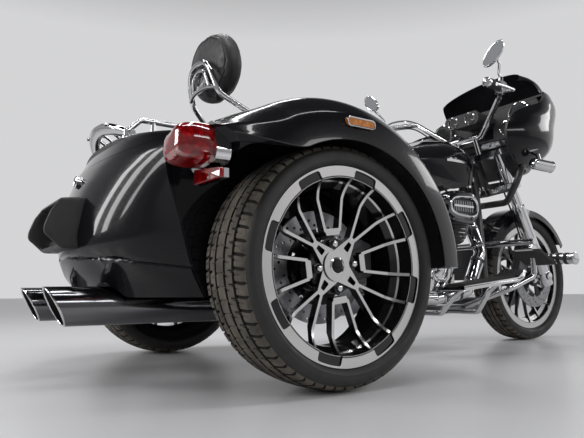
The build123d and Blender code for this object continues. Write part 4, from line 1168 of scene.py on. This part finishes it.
def make_wheel_trim():
    for node, body, outward in (("right_rim", "rear_wheel_right", -1), ("left_rim", "rear_wheel_left", 1)):
        centre = middle_of(node)
        axis = (0, outward, 0)
        face = centre + mm(0, outward * cap_offset, 0)
        trim = Build()
        trim.lathe(face, axis, [(22, 0), (22.5, 3), (19, 4.5), (18, 3)], 40)
        trim.lathe(face, axis, [(18, 3), (12, 4.2), (6, 4.8), (0, 5)], pick=1)
        for quarter in range(4):
            turn = math.radians(spoke_turn + 90 * quarter)
            x, z = lug_circle * math.cos(turn), lug_circle * math.sin(turn)
            nut = [(9.5, 0), (9.5, 6), (8.5, 10), (5, 12.5), (0, 13.2)]
            trim.lathe(centre + mm(x, outward * lug_offset, z), axis, nut, 20)
        trim.piece(node + "_trim", body, "chrome", "gloss_black")
    hub = Build()
    half = size_of("front_rim").y / 2
    for outward in sides:
        hub.lathe(middle_of("front_rim") + Vector((0, outward * half, 0)), (0, outward, 0),
                  [(30, -4), (30, 0), (26, 2), (14, 2)])
    hub.piece("front_hub_trim", "front_wheel", "chrome")


# Perforated brake discs
disc_radius = 149.8
disc_thickness = 5.8
carrier_arms = 5
window_gap = 11.0
window_rim = 16.0
window_radius = 90.0
hole_circles = (112, 126, 139)
hole_rows = 15
hole_radius = 4.0
bobbin_circle = 98.5
bobbin_lift = 1.2


def perforated_disc(name, node, offsets, body, inner):
    """A drilled steel ring on a black carrier with windows and a ring of bobbins."""
    centre = middle_of(node)
    mesh = bmesh.new()

    def loop(points):
        ring = [mesh.verts.new((x, 0, z)) for x, z in points]
        for i in range(len(ring)):
            mesh.edges.new((ring[i], ring[(i + 1) % len(ring)]))

    loop(oval(120, disc_radius, disc_radius))
    loop(oval(80, inner, inner))
    for arm in range(carrier_arms):
        start = 360 * arm / carrier_arms + window_gap
        reach = 360 / carrier_arms - 2 * window_gap
        turns = [math.radians(start + reach * i / 10) for i in range(11)]
        loop([(r * math.cos(turn), r * math.sin(turn))
              for r, way in ((window_radius, 1), (inner + window_rim, -1)) for turn in turns[::way]])
    for step in range(hole_rows):
        for row, r in enumerate(hole_circles):
            turn = math.radians(360 / hole_rows * step + 7.5 * row)
            place_x, place_z = r * math.cos(turn), r * math.sin(turn)
            loop([(place_x + x, place_z + z) for x, z in oval(10, hole_radius, hole_radius)])
    bmesh.ops.triangle_fill(mesh, use_beauty=True, use_dissolve=False, edges=mesh.edges[:])
    mesh.verts.index_update()
    fills = [[v.index for v in f.verts] for f in mesh.faces]
    flat = [v.co.copy() for v in mesh.verts]
    border = [[v.index for v in e.verts] for e in mesh.edges if len(e.link_faces) == 1]
    mesh.free()
    disc = Build()
    half = disc_thickness / 2
    thick = disc_thickness + 2 * bobbin_lift
    for offset in offsets:
        points = [centre + mm(p.x, offset + shift, p.z) for shift in (-half, half) for p in flat]
        n = len(flat)
        faces = [tuple(row) for row in fills] + [tuple(n + i for i in row[::-1]) for row in fills]
        disc.add(points, faces + [(a, b, n + b, n + a) for a, b in border])
        for i in range(2 * carrier_arms):
            turn = math.pi * (i + 0.5) / carrier_arms
            x, z = bobbin_circle * math.cos(turn), bobbin_circle * math.sin(turn)
            foot = centre + mm(x, offset - half - bobbin_lift, z)
            disc.lathe(foot, (0, 1, 0), [(3, 0), (6.2, 0), (6.2, thick), (3, thick)], 16, 1)
    piece = disc.piece(name, body, disc_steel(node), "chrome", slot="disc_steel", sharp=40.0)
    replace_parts(piece, node)


def make_discs():
    side = size_of("front_discs").y / MM / 2 - 3
    perforated_disc("front_discs_drilled", "front_discs", (-side, side), "front_wheel", 32.5)
    perforated_disc("right_disc_drilled", "right_disc", (0.0,), "rear_wheel_right", 40.5)
    perforated_disc("left_disc_drilled", "left_disc", (0.0,), "rear_wheel_left", 40.5)


# Padded pieces
pad_pressure = 4.0
pad_frames = 20
seat_held = 70.0
backrest_power = 5.5


def domed(mesh, power):
    """Both flat faces of an upright pad turned into domes that meet at its rim."""
    low = Vector([min(v.co[i] for v in mesh.vertices) for i in range(3)])
    high = Vector([max(v.co[i] for v in mesh.vertices) for i in range(3)])
    middle = (low + high) / 2
    reach = (high - low) / 2
    offsets = [(v.co.x - middle.x, v.co.y - middle.y, v.co.z - middle.z) for v in mesh.vertices]
    lean = sum(x * z for x, y, z in offsets)
    lean /= sum(z ** 2 for x, y, z in offsets)
    half = max(abs(x - lean * z) for x, y, z in offsets)
    for v, (x, y, z) in zip(mesh.vertices, offsets):
        share = min(0.985, math.hypot(y / reach.y, z / reach.z))
        away = max(-half, min(half, (x - lean * z) * 1.06)) * (1 - share ** power) ** (1 / power)
        v.co.x = middle.x + lean * z + away


def blow_up(pad, cap, held_under):
    """Swell a pad by a cloth simulation, with each point's way held under a cap."""
    data = pad.data
    rest = [v.co.copy() for v in data.vertices]
    cloth = pad.modifiers.new("cloth", "CLOTH")
    cloth.settings.use_pressure = True
    cloth.settings.uniform_pressure_force = pad_pressure
    cloth.settings.effector_weights.gravity = 0.0
    cloth.settings.quality = 4
    if held_under:
        held = pad.vertex_groups.new(name="held")
        held.add([i for i, p in enumerate(rest) if p.z < held_under], 1.0, "REPLACE")
        cloth.settings.vertex_group_mass = "held"
    for step in range(1, pad_frames + 1):
        bpy.context.scene.frame_set(step)
    blown = pad.evaluated_get(bpy.context.evaluated_depsgraph_get()).to_mesh()
    for start, vertex, target in zip(rest, blown.vertices, data.vertices):
        move = vertex.co - start
        if move.length > cap * MM:
            move = move.normalized() * cap * MM
        target.co = start + move
    pad.modifiers.clear()
    bpy.context.scene.frame_set(1)


def softened(node, name, shrink, voxel, cap, held_under=None, dome=None):
    """A pad remeshed from the plain CAD pad, shrunk a little and blown up."""
    pad = link(name, nodes[node].data.copy())
    if dome:
        fine = bmesh.new()
        fine.from_mesh(pad.data)
        bmesh.ops.triangulate(fine, faces=fine.faces[:])
        bmesh.ops.subdivide_edges(fine, edges=fine.edges[:], cuts=5, use_grid_fill=True)
        fine.to_mesh(pad.data)
        fine.free()
        domed(pad.data, dome)
    remesh = pad.modifiers.new("even", "REMESH")
    remesh.mode = "VOXEL"
    remesh.voxel_size = voxel * MM
    thin = pad.modifiers.new("thin", "DISPLACE")
    thin.strength = -shrink * MM
    thin.mid_level = 0.0
    smooth = pad.modifiers.new("ease", "SMOOTH")
    smooth.factor = 0.5
    smooth.iterations = 6
    data = bpy.data.meshes.new_from_object(pad.evaluated_get(bpy.context.evaluated_depsgraph_get()))
    pad.modifiers.clear()
    pad.data = data
    data.materials.clear()
    data.materials.append(finishes["seat_leather"])
    blow_up(pad, cap, held_under)
    data.polygons.foreach_set("use_smooth", [True] * len(data.polygons))
    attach(pad, "chassis")
    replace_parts(pad, node)
    return data


def make_pads():
    """Seat and backrest, with piping along their edges."""
    low, high = (Vector(corner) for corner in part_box("seat"))
    seat = softened("seat", "seat_padded", 5, 6, 14, held_under=low.z + seat_held * MM)
    back = softened("backrest_pad", "backrest_padded", 1, 5, 12, dome=backrest_power)
    middle = middle_of("backrest_pad")
    half = size_of("backrest_pad") / 2
    trim = Build()
    for front in (1, -1):
        rim = oval(72, 0.9 * half.y, 0.9 * half.z)
        ring = [(middle.x + front * half.x - 0.12 * z, middle.y + y, middle.z + z) for y, z in rim]
        trim.hoop(seated(back, ring), 2.6, 8)
    for share in (-0.62, 0.62):
        places = [low.x + 0.04 + (high.x - low.x - 0.08) * i / 39 for i in range(40)]
        line = [(x, share * high.y, high.z + 0.05) for x in places]
        trim.tube(seated(seat, line), 2.6, 8)
    trim.piece("seat_piping", "chassis", "seat_leather")


# Engine covers: outlines in x and z, y of their faces, and how far in the bolts stand as a share
crank = at(230, 0, 330)
cylinder_tilt = math.radians(22.5)
rocker_top = 350.0
cam_outline = [(125, 250), (270, 232), (340, 300), (325, 400), (210, 440), (125, 380)]
primary_outline = [(-120, 258), (20, 245), (250, 235), (330, 280), (335, 355), (260, 408), (20, 408),
                   (-120, 408)]
covers = ((cam_outline, -140, 0.80), (primary_outline, 185, 0.93))
round_covers = ((at(235, -160, 335), -1, 62), (at(-60, 200, 330), 1, 72))


def make_engine_trim():
    """Bolts on the rocker and side covers, and a ringed cover on the cam side and on the primary side."""
    trim = Build()
    for lean in sides:
        axis = Vector((lean * math.sin(cylinder_tilt), 0, math.cos(cylinder_tilt)))
        along = Vector((axis.z, 0, -axis.x))
        top = crank + axis * rocker_top * MM
        for dx in (-42, 42):
            for dy in (-52, 0, 52):
                trim.bolt(top + along * dx * MM + mm(0, dy, 0), axis, 6.5, 6)
    for outline, y, inset in covers:
        cx = sum(x for x, z in outline) / len(outline)
        cz = sum(z for x, z in outline) / len(outline)
        for x, z in outline:
            place = at(cx + inset * (x - cx), y, cz + inset * (z - cz))
            trim.bolt(place, (0, math.copysign(1, y), 0), 6.5, 5)
    for place, side, r in round_covers:
        axis = (0, side, 0)
        profile = [(r, 0), (r, 3), (r - 6, 6), (r - 12, 4), (r - 16, 4.5), (r - 22, 7), (12, 9), (0, 9)]
        trim.lathe(place, axis, profile, 48)
        for i in range(5):
            turn = 2 * math.pi * i / 5 + 0.3
            trim.bolt(place + mm(math.cos(turn) * (r - 14), 4 * side, math.sin(turn) * (r - 14)), axis, 4, 4)
    trim.piece("engine_bolts", "chassis", "chrome")


def make_spark_leads():
    leads = Build()
    for x, lean in ((402, 1), (58, -1)):
        foot = at(x - 16 * lean, -78, 560)
        bends = [foot + mm(dx * lean, dy, dz) for dx, dy, dz in ((0, 0, 0), (10, -35, 10), (-30, -60, 70),
                                                                 (-90, -50, 130))]
        leads.tube(smooth_path(bends), 4.5, 10, pick=1)
        leads.lathe(foot, (0.2 * lean, -1, 0.2), [(10, 0), (10, 22), (7, 28), (0, 28)], 16)
    leads.piece("spark_leads", "chassis", "chrome", "grip_rubber", slot="grip_rubber")


# Straight exhaust runs: ends, and the shares where each shield starts and stops
exhaust_runs = (
    ((452, -130, 560), (430, -205, 400), 0.30, 0.88),
    ((430, -205, 400), (330, -212, 240), 0.16, 0.80),
    ((330, -212, 240), (180, -172, 210), 0.25, 0.80),
    ((5, -120, 575), (30, -196, 450), 0.30, 0.75),
    ((30, -196, 450), (120, -205, 270), 0.18, 0.78),
)
pipe_radius = 24.0
tip_top_x = -1281.0
tip_low_x = -1226.0


def make_heat_shields():
    """A shield over each straight run, held by two clamps."""
    shields = Build()
    outer = pipe_radius + 4
    for run_start, run_end, low, high in exhaust_runs:
        start, end = at(*run_start), at(*run_end)
        axis = end - start
        long = axis.length / MM * (high - low)
        foot = between(start, end, low)
        shields.lathe(foot, axis, [(outer - 5, 0), (outer, 0), (outer + 1, 3), (outer, 6), (outer, long - 6),
                                   (outer + 1, long - 3), (outer, long), (outer - 5, long)])
        out = axis.cross(Vector((0, 0, 1))).normalized()
        out *= -math.copysign(1, out.y)
        for share in (0.12, 0.88):
            clamp = foot + axis.normalized() * long * share * MM
            band = [(outer - 1, -6), (outer + 1.8, -5), (outer + 1.8, 5), (outer - 1, 6)]
            shields.lathe(clamp, axis, band, pick=1)
            shields.bar(clamp + out * (outer + 1) * MM, clamp + out * (outer + 9) * MM, axis, 5, 4, 1)
    shields.piece("heat_shields", "chassis", "chrome", "caliper_metal")


def make_muffler_trim():
    """A rolled lip round each slash-cut tip, and a band where each muffler starts."""
    tips = Build()
    radius = muffler_radius / MM
    lip = radius - muffler_wall
    for side in sides:
        centre = Vector((0, side * muffler_middle.y, muffler_middle.z))
        loop = []
        for y, z in oval(56, lip, lip):
            x = (tip_top_x + tip_low_x) / 2 + (tip_top_x - tip_low_x) / 2 * z / radius
            loop.append(centre + at(x + 2, y, z))
        tips.hoop(loop, 3.4, 10)
        band = [(51.5, -12), (53.5, -10), (53.5, 10), (51.5, 12)]
        tips.lathe(at(-320, side * tunnel_y, tunnel_z), (1, 0, 0), band, 48)
    tips.piece("muffler_trim", "chassis", "chrome")


# Half length and half height of a mirror's face
mirror_halves = (62.0, 33.0)


def make_mirror_glass():
    """Chrome rim and glass in each mirror."""
    trim = Build()
    for side in sides:
        centre = at(360, side * 371, 1208)
        long_way = Vector((0, side * 0.756, 0.654))
        short_way = Vector((0, -side * 0.654, 0.756))

        def face(shrink, back):
            half_long, half_short = (half - shrink for half in mirror_halves)
            return [centre + (long_way * u + short_way * v) * MM - mm(back, 0, 0)
                    for u, v in oval(56, half_long, half_short)]

        trim.hoop(face(2.8, 0), 2.8, 10)
        trim.add(face(4, 0.8), [tuple(range(56))], 1)
    trim.piece("mirror_trim", "steering", "chrome", mirror_glass())


def make_gauges():
    """Round instruments: a chrome ring, dark dial, plain ticks and a needle."""
    white = Finish("dial_white", (0.8, 0.8, 0.78), 0.5)
    behind = (-1, 0, 0)
    dial = Build()
    for y in (-50, 50):
        back = at(611.2, y, 1060)
        dial.lathe(at(606, y, 1060), behind, [(29.5, -1), (29.5, 3), (27.5, 4.5), (25.5, 3), (25.5, -2)], 40)
        dial.lathe(back, behind, [(26.8, 0), (0, 0)], 40, 1)
        marks = [(math.radians(-50 + 280 * i / 24), i % 4 == 0) for i in range(25)]
        hands = [(turn, 21.5 - 3 * long, 24, 0.4, 0.3 + 0.3 * long) for turn, long in marks]
        for turn, inner, outer, lift, half in hands + [(math.radians(215), 0, 19, 1, 0.7)]:
            out = Vector((0, math.cos(turn), math.sin(turn)))
            face = back - mm(lift, 0, 0)
            start, end = face + out * inner * MM, face + out * outer * MM
            dial.bar(start, end, out.cross(Vector((1, 0, 0))), half, 0.2, 2)
        dial.lathe(back, behind, [(4, 0), (4, 2), (0, 2.5)], 20, 1)
    dial.piece("gauges", "chassis", "chrome", "trim_black", white.material)


# Speakers on the dash: y, z and radius
speakers = ((150, 1010, 34), (-150, 1010, 34), (225, 1060, 56), (-225, 1060, 56))


def make_dash_trim():
    """Speaker covers, and a dark screen over a row of keys."""
    dash = Build()
    for y, z, radius in speakers:
        face = at(739, y, z)
        dash.lathe(face, (-1, 0, 0), [(radius, 0), (radius, 3), (radius - 4, 5), (radius - 6, 2)], 40)
        for ring in range(1, 6):
            r = (radius - 6) * ring / 5.5
            dash.hoop([face + mm(-2, dy, dz) for dy, dz in oval(32, r, r)], 1.1, 6, 1)
        for dy, dz in oval(12, radius - 6, radius - 6)[:6]:
            dash.tube([face + mm(-2, -dy, -dz), face + mm(-2, dy, dz)], 0.9, 6, pick=1)
    dash.bar(at(764, -62, 1005), at(764, 62, 1005), (0, 0, 1), 24, 3, 2)
    for y in range(-50, 51, 20):
        dash.bar(at(763, y - 6, 974), at(763, y + 6, 974), (0, 0, 1), 4, 3, 1)
    dash.piece("dash_trim", "chassis", "chrome", "trim_black", "gloss_black", slot="trim_black")


def make_signal_ends():
    """Domed backs and amber fronts on the two signals."""
    caps = Build()
    for side in sides:
        back = at(700, side * 310, 800)
        front = at(790, side * 330, 792)
        axis = front - back
        caps.lathe(back, -axis, [(26, -1), (25.5, 4), (21, 11), (12, 16), (0, 18)])
        caps.lathe(front, axis, [(26, -2), (27, 1), (27, 5), (23.5, 6)])
        caps.lathe(front, axis, [(23.5, 4), (21, 9), (12, 13), (0, 14)], pick=1)
    caps.piece("signal_ends", "chassis", "chrome", "amber_lens")


def make_grip_trim():
    """Rubber rings and chrome caps on the grips."""
    trim = Build()
    for side in sides:
        outer = at(242, side * 420, 1046)
        inner = at(360, side * 388, 1064)
        axis = inner - outer
        for i in range(11):
            place = between(outer, inner, 0.09 + 0.078 * i)
            trim.lathe(place, axis, [(17.8, -3.4), (19.2, -2.4), (19.2, 2.4), (17.8, 3.4)], 28)
        trim.lathe(outer, -axis, [(17.8, -6), (19.4, -5), (19.4, 3), (15, 8), (0, 10)], 28, 1)
        trim.lathe(inner, axis, [(17.8, -4), (21.5, -3), (21.5, 2), (17.8, 3)], 28, 1)
    trim.piece("grip_trim", "steering", "grip_rubber", "chrome")


# Floorboards: x and z where each rubber starts and ends, and the edge tube's route
board_rubbers = (((30, 261), (326, 293)), ((334, 297), (366, 320)))
board_edge = ((20, 449, 251), (180, 449, 267), (338, 449, 284), (374, 449, 316))


def make_foot_rubbers():
    """Ribbed rubber on boards, pedals and pegs, with a chrome edge tube along each board."""
    trim = Build()
    across = (0, 1, 0)
    for side in sides:
        for (x0, z0), (x1, z1) in board_rubbers:
            trim.bar(at(x0, side * 398, z0), at(x1, side * 398, z1), across, 44, 1.6)
            for y in range(362, 435, 12):
                trim.bar(at(x0 + 4, side * y, z0 + 3), at(x1 - 4, side * y, z1 + 2.6), across, 3.5, 2.2)
        trim.tube(smooth_path(route(board_edge, side)), 5.5, pick=1)
        for share in (0.1 + 0.16 * rib for rib in range(6)):
            x, z = 480 + 132 * share, 427 - 63 * share
            trim.bar(at(x, side * 344, z), at(x, side * 416, z), (1, 0, -0.45), 6, 3)
        trim.bar(at(486, side * 380, 400.5), at(592, side * 380, 350), across, 66, 6)
        outer = at(640, side * 500, 368)
        inner = at(640, side * 350, 374)
        axis = outer - inner
        for share in (0.38, 0.58, 0.78):
            place = between(inner, outer, share)
            trim.lathe(place, axis, [(21.8, -8), (23.6, -6.5), (23.6, 6.5), (21.8, 8)])
        trim.lathe(outer, axis, [(21.8, -4), (25, -3), (25, 3), (18, 7), (0, 8)], pick=1)
    trim.piece("foot_rubbers", "chassis", "grip_rubber", "chrome")


# Plain bars in the badge's place on the tank: first x, step, number of points, z and half width and depth
badge_bars = ((310, 16, 9, 806, 6, 1.8), (330, 12, 6, 824, 3, 1.5))


def make_tank_trim():
    """Plain bars in the badge's place, and the filler cap."""
    trim = Build()
    for side in sides:
        for x, step, count, z, half_width, half_depth in badge_bars:
            line = [at(x + step * i, side * 170, z + 0.6 * i) for i in range(count)]
            places = seated(nodes["fuel_tank"].data, line, -1)
            for start, end in zip(places, places[1:]):
                trim.bar(start, end, (0, 0, 1), half_width, half_depth)
    (cap, normal), = nearest_on(nodes["tank_console"].data, [at(350, 0, 960)])
    trim.lathe(cap, normal, [(28, -2), (28, 6), (25, 9), (10, 11), (0, 11)], 40)
    side_way = normal.orthogonal().normalized()
    other_way = normal.cross(side_way)
    for u, v in oval(12, 27.8, 27.8):
        foot = cap + (side_way * u + other_way * v) * MM
        trim.tube([foot, foot + normal * 7 * MM], 2.2, 8)
    trim.piece("tank_trim", "chassis", "chrome")


# Shock springs: turns, points in a turn and radius
spring_turns = 8
spring_points = 20
spring_radius = 28.5


def make_shock_springs():
    coil = Build()
    for side in sides:
        low = at(-428, side * 185, 346)
        high = at(-322, side * 185, 545)
        axis = (high - low).normalized()
        first = axis.orthogonal().normalized()
        second = axis.cross(first)
        wheel = oval(spring_points, spring_radius * MM, spring_radius * MM)
        total = spring_turns * spring_points
        turns = [wheel[i % spring_points] for i in range(total + 1)]
        path = [between(low, high, i / total) + first * u + second * v for i, (u, v) in enumerate(turns)]
        coil.tube(path, 4.5, 8)
        for end, way in ((low, 1), (high, -1)):
            coil.lathe(end, axis * way, [(24, -12), (34, -10), (34, -5), (24, -4)], 28)
    coil.piece("shock_springs", "chassis", "chrome")


# Control and brake lines on each side: radius, material and route
hose_routes = (
    (4.5, 0, ((432, 350, 1084), (470, 330, 1112), (530, 278, 1118), (575, 215, 1078), (610, 165, 1010))),
    (3.5, 1, ((428, 346, 1060), (470, 318, 1070), (540, 250, 1070), (590, 170, 1000))),
    (4.0, 1, ((735, 96, 800), (790, 92, 700), (850, 94, 585), (885, 96, 500), (902, 100, 455))),
)


def make_hoses():
    """Two lines from each lever, and one down each fork leg."""
    hoses = Build()
    for side in sides:
        for radius, pick, points in hose_routes:
            hoses.tube(smooth_path(route(points, side)), radius, 10, pick=pick)
    hoses.piece("hoses", "steering", "chrome", "grip_rubber", slot="grip_rubber")


# Corners of a marker's frame: x and z
marker_corners = [(-694, 652), (-596, 652), (-596, 680), (-694, 680)]


def make_body_trim():
    """The lock's face with a black bar for its key slot as painted shade, and a frame round each amber marker.
    """
    trim = Build()
    lock = at(-1172, 0, 572)
    trim.lathe(lock, (-1, 0, 0), [(18.5, -4), (18.5, 2), (15, 4), (11, 2), (0, 2)])
    # Black bar on the lock's face: painted shade standing for the key slot.
    trim.bar(lock - mm(2.4, 0, 5), lock - mm(2.4, 0, -5), (0, 1, 0), 1.2, 0.6, 1)
    for side in sides:
        loop = []
        for (x0, z0), (x1, z1) in zip(marker_corners, marker_corners[1:] + marker_corners[:1]):
            loop += [at(x0 + (x1 - x0) * t, side * 700, z0 + (z1 - z0) * t) for t in (0.12, 0.5, 0.88)]
        trim.hoop(seated(nodes["amber_markers"].data, loop), 2.2, 8)
    trim.piece("body_trim", "chassis", "chrome", "trim_black")


def make_oil_cooler_fins():
    fins = Build()
    for z in (296 + 8.6 * i for i in range(16)):
        for x in (613, 569):
            fins.bar(at(x, -98, z), at(x, 98, z), (0, 0, 1), 0.9, 2)
    fins.piece("oil_cooler_fins", "chassis", "caliper_metal")


# Rack posts: x and radius
rack_posts = ((-840, 7.5), (-1000, 7.5), (-1078, 8.5))


def make_rack_feet():
    """Chrome feet under the rack's posts and rear ends, down to the crowned lid."""
    feet = Build()
    for y in (-170, 170):
        for x, radius in rack_posts:
            height = lid_top(x, y)
            rise = lid_top_z - height + 9
            feet.lathe(at(x, y, height - 2), (0, 0, 1), [(13, 0), (13, 5), (radius, 8), (radius, rise)], 24)
    for y in (-178, 178):
        ground = at(-1066, y, lid_top(-1066, y) - 2)
        feet.bar(ground, ground + mm(0, 0, 22), (0, 1, 0), 12, 7)
    feet.piece("rack_feet", "trunk_lid", "chrome")


# Rack hoop: half width, rise, inset of the band and steps along it
hoop_half = 190.0
hoop_rise = 78.0
hoop_inset = 19.5
hoop_steps = 60


def make_rack_hoop():
    """A rounded chrome band over the flat hoop of the rack, leaning back as it does."""
    up = Vector((-0.73, 0, 0.68)).normalized()
    out = Vector((0.68, 0, 0.73)).normalized()
    radius = (hoop_half ** 2 + hoop_rise ** 2) / (2 * hoop_rise)
    reach = math.asin(hoop_half / radius)
    centre = at(-1068, 0, 696) + up * (hoop_rise - radius) * MM
    loops = []
    for turn in (reach * (2 * i / hoop_steps - 1) for i in range(hoop_steps + 1)):
        spoke = Vector((0, math.sin(turn), 0)) + up * math.cos(turn)
        loops.append([centre + (spoke * (radius - hoop_inset + u) + out * v) * MM
                      for u, v in oval(20, 18.5, 11.5, 0.7)])
    skin("rack_hoop", None, loops, ["chrome"], "trunk_lid")


# Piston bosses and bridge bolts of the front calipers: x and z from the front axle
boss_places = ((-98, 64), (-124, 112))
bridge_places = ((-80, 45), (-85, 115), (-145, 100))


def make_caliper_trim():
    """Bosses and bolts on the calipers, and rounded ends with axle nuts on the fork legs."""
    trim = Build()
    wheel = middle_of("front_rim")
    face = size_of("front_calipers").y / MM / 2 - 2
    for side in sides:
        axis = (0, side, 0)
        for dx, dz in boss_places:
            boss = wheel + mm(dx, side * face, dz)
            trim.lathe(boss, axis, [(20, -3), (20, 3), (16, 4.5), (10, 3.5), (0, 3.5)])
        for dx, dz in bridge_places:
            trim.bolt(wheel + mm(dx, side * face, dz), axis, 6, 6, 1)
        high = at(1001, side * 130, 330)
        trim.lathe(high, at(1026, side * 130, 270) - high,
                   [(30.2, 0), (32.5, 4), (32.5, 52), (29, 64), (20, 70), (0, 72)], 40, 1)
        trim.lathe(wheel + mm(0, side * 160, 0), axis, [(20, -4), (20, 4), (17, 7), (9, 8), (0, 8)], pick=1)
    trim.piece("front_caliper_trim", "steering", "caliper_metal", "chrome", slot="chrome")


# Studio, in metres
floor_half = 24.0


def make_floor():
    data = bpy.data.meshes.new("floor")
    corners = [(-floor_half, -floor_half, 0), (floor_half, -floor_half, 0), (floor_half, floor_half, 0),
               (-floor_half, floor_half, 0)]
    data.from_pydata(corners, [], [(0, 1, 2, 3)])
    data.materials.append(Finish("floor", (0.62, 0.62, 0.63), 0.32).material)
    link("floor", data)


def area_light(name, place, target, size, power):
    light = bpy.data.lights.new(name, "AREA")
    light.shape = "RECTANGLE"
    light.size, light.size_y = size
    light.energy = power
    lamp = link(name, light)
    lamp.location = place
    lamp.rotation_euler = (Vector(target) - Vector(place)).to_track_quat("-Z", "Y").to_euler()


def colour_ramp(tree, value, stops, interpolation="LINEAR"):
    node = add_node(tree, "ShaderNodeValToRGB", {0: value})
    node.color_ramp.interpolation = interpolation
    for element, (position, colour) in zip(node.color_ramp.elements, stops):
        element.position = position
        element.color = rgba(colour)
    return node.outputs[0]


def make_world():
    """Backdrop for camera, glossy and transmitted rays, darker overhead and on one side. Soft light else."""
    world = bpy.data.worlds.new("studio")
    world.use_nodes = True
    bpy.context.scene.world = world
    tree = world.node_tree
    direction = add_node(tree, "ShaderNodeTexCoord").outputs["Generated"]
    height = add_node(tree, "ShaderNodeSeparateXYZ", {0: direction}).outputs[2]
    overhead = colour_ramp(tree, height, ((0.42, (0.66, 0.66, 0.67)), (0.66, (0.035, 0.035, 0.04))))
    ways = {0: direction, 1: (0.92, 0.39, 0.0)}
    across = add_node(tree, "ShaderNodeVectorMath", ways, operation="DOT_PRODUCT").outputs["Value"]
    shade = colour_ramp(tree, across, ((0.0, (0.42, 0.42, 0.43)), (0.2, 1.0)), "EASE")
    backdrop = mixed(tree, 1.0, overhead, shade, blend_type="MULTIPLY")
    path = add_node(tree, "ShaderNodeLightPath").outputs
    seen = path["Is Camera Ray"]
    for ray in ("Is Glossy Ray", "Is Transmission Ray"):
        seen = add_node(tree, "ShaderNodeMath", {0: seen, 1: path[ray]}, operation="MAXIMUM").outputs[0]
    background = tree.nodes["Background"]
    tree.links.new(mixed(tree, seen, (0.38, 0.38, 0.39), backdrop), background.inputs[0])
    background.inputs[1].default_value = 1.0


def make_lights():
    """Three long tubes overhead and a tall window with bars behind, as narrow soft panels."""
    for index, y in enumerate((-1.1, 0.2, 1.5)):
        area_light("tube_" + str(index), (-0.6, y, 3.3), (-0.3, 0.3 * y, 0.4), (3.6, 0.16), 24)
    for index, y in enumerate((0.7, 1.5, 2.3)):
        area_light("window_" + str(index), (-4.4, y, 1.9), (-0.8, 0, 0.5), (0.32, 2.2), 24)
    area_light("side", (0.6, -4.2, 2.6), (0.1, 0, 0.4), (3.0, 0.5), 32)
    area_light("front", (4.0, -1.5, 2.4), (0.6, 0, 0.5), (1.6, 0.8), 18)


def make_camera():
    yaw, pitch, roll = (math.radians(a) for a in (camera_yaw, camera_pitch, camera_roll))
    forward = Vector((math.cos(yaw) * math.cos(pitch), math.sin(yaw) * math.cos(pitch), math.sin(pitch)))
    right = Vector((math.sin(yaw), -math.cos(yaw), 0.0))
    up = right.cross(forward)
    side = right * math.cos(roll) + up * math.sin(roll)
    top = up * math.cos(roll) - right * math.sin(roll)
    data = bpy.data.cameras.new("camera")
    data.sensor_width = sensor_mm
    data.lens = sensor_mm * focal_px / image_width_px
    data.clip_start = 0.05
    camera = link("camera", data)
    rows = [(side[i], top[i], -forward[i], camera_place[i]) for i in range(3)]
    camera.matrix_world = Matrix(rows + [(0, 0, 0, 1)])
    bpy.context.scene.camera = camera


dress_nodes()
round_mouldings()
make_fender_skins()
make_fairing_skin()
make_fairing_deck()
make_tank_skin()
make_lid_skin()
make_body_skin()
make_lamp_lenses()
make_windscreen()
make_sissy_bar()
make_air_cleaner()
make_tyres()
make_wheel_trim()
make_discs()
make_pads()
make_engine_trim()
make_spark_leads()
make_heat_shields()
make_muffler_trim()
make_mirror_glass()
make_gauges()
make_dash_trim()
make_signal_ends()
make_grip_trim()
make_foot_rubbers()
make_tank_trim()
make_shock_springs()
make_hoses()
make_body_trim()
make_oil_cooler_fins()
make_rack_feet()
make_rack_hoop()
make_caliper_trim()
make_floor()
make_world()
make_lights()
make_camera()
bpy.context.scene.view_settings.view_transform = "Standard"
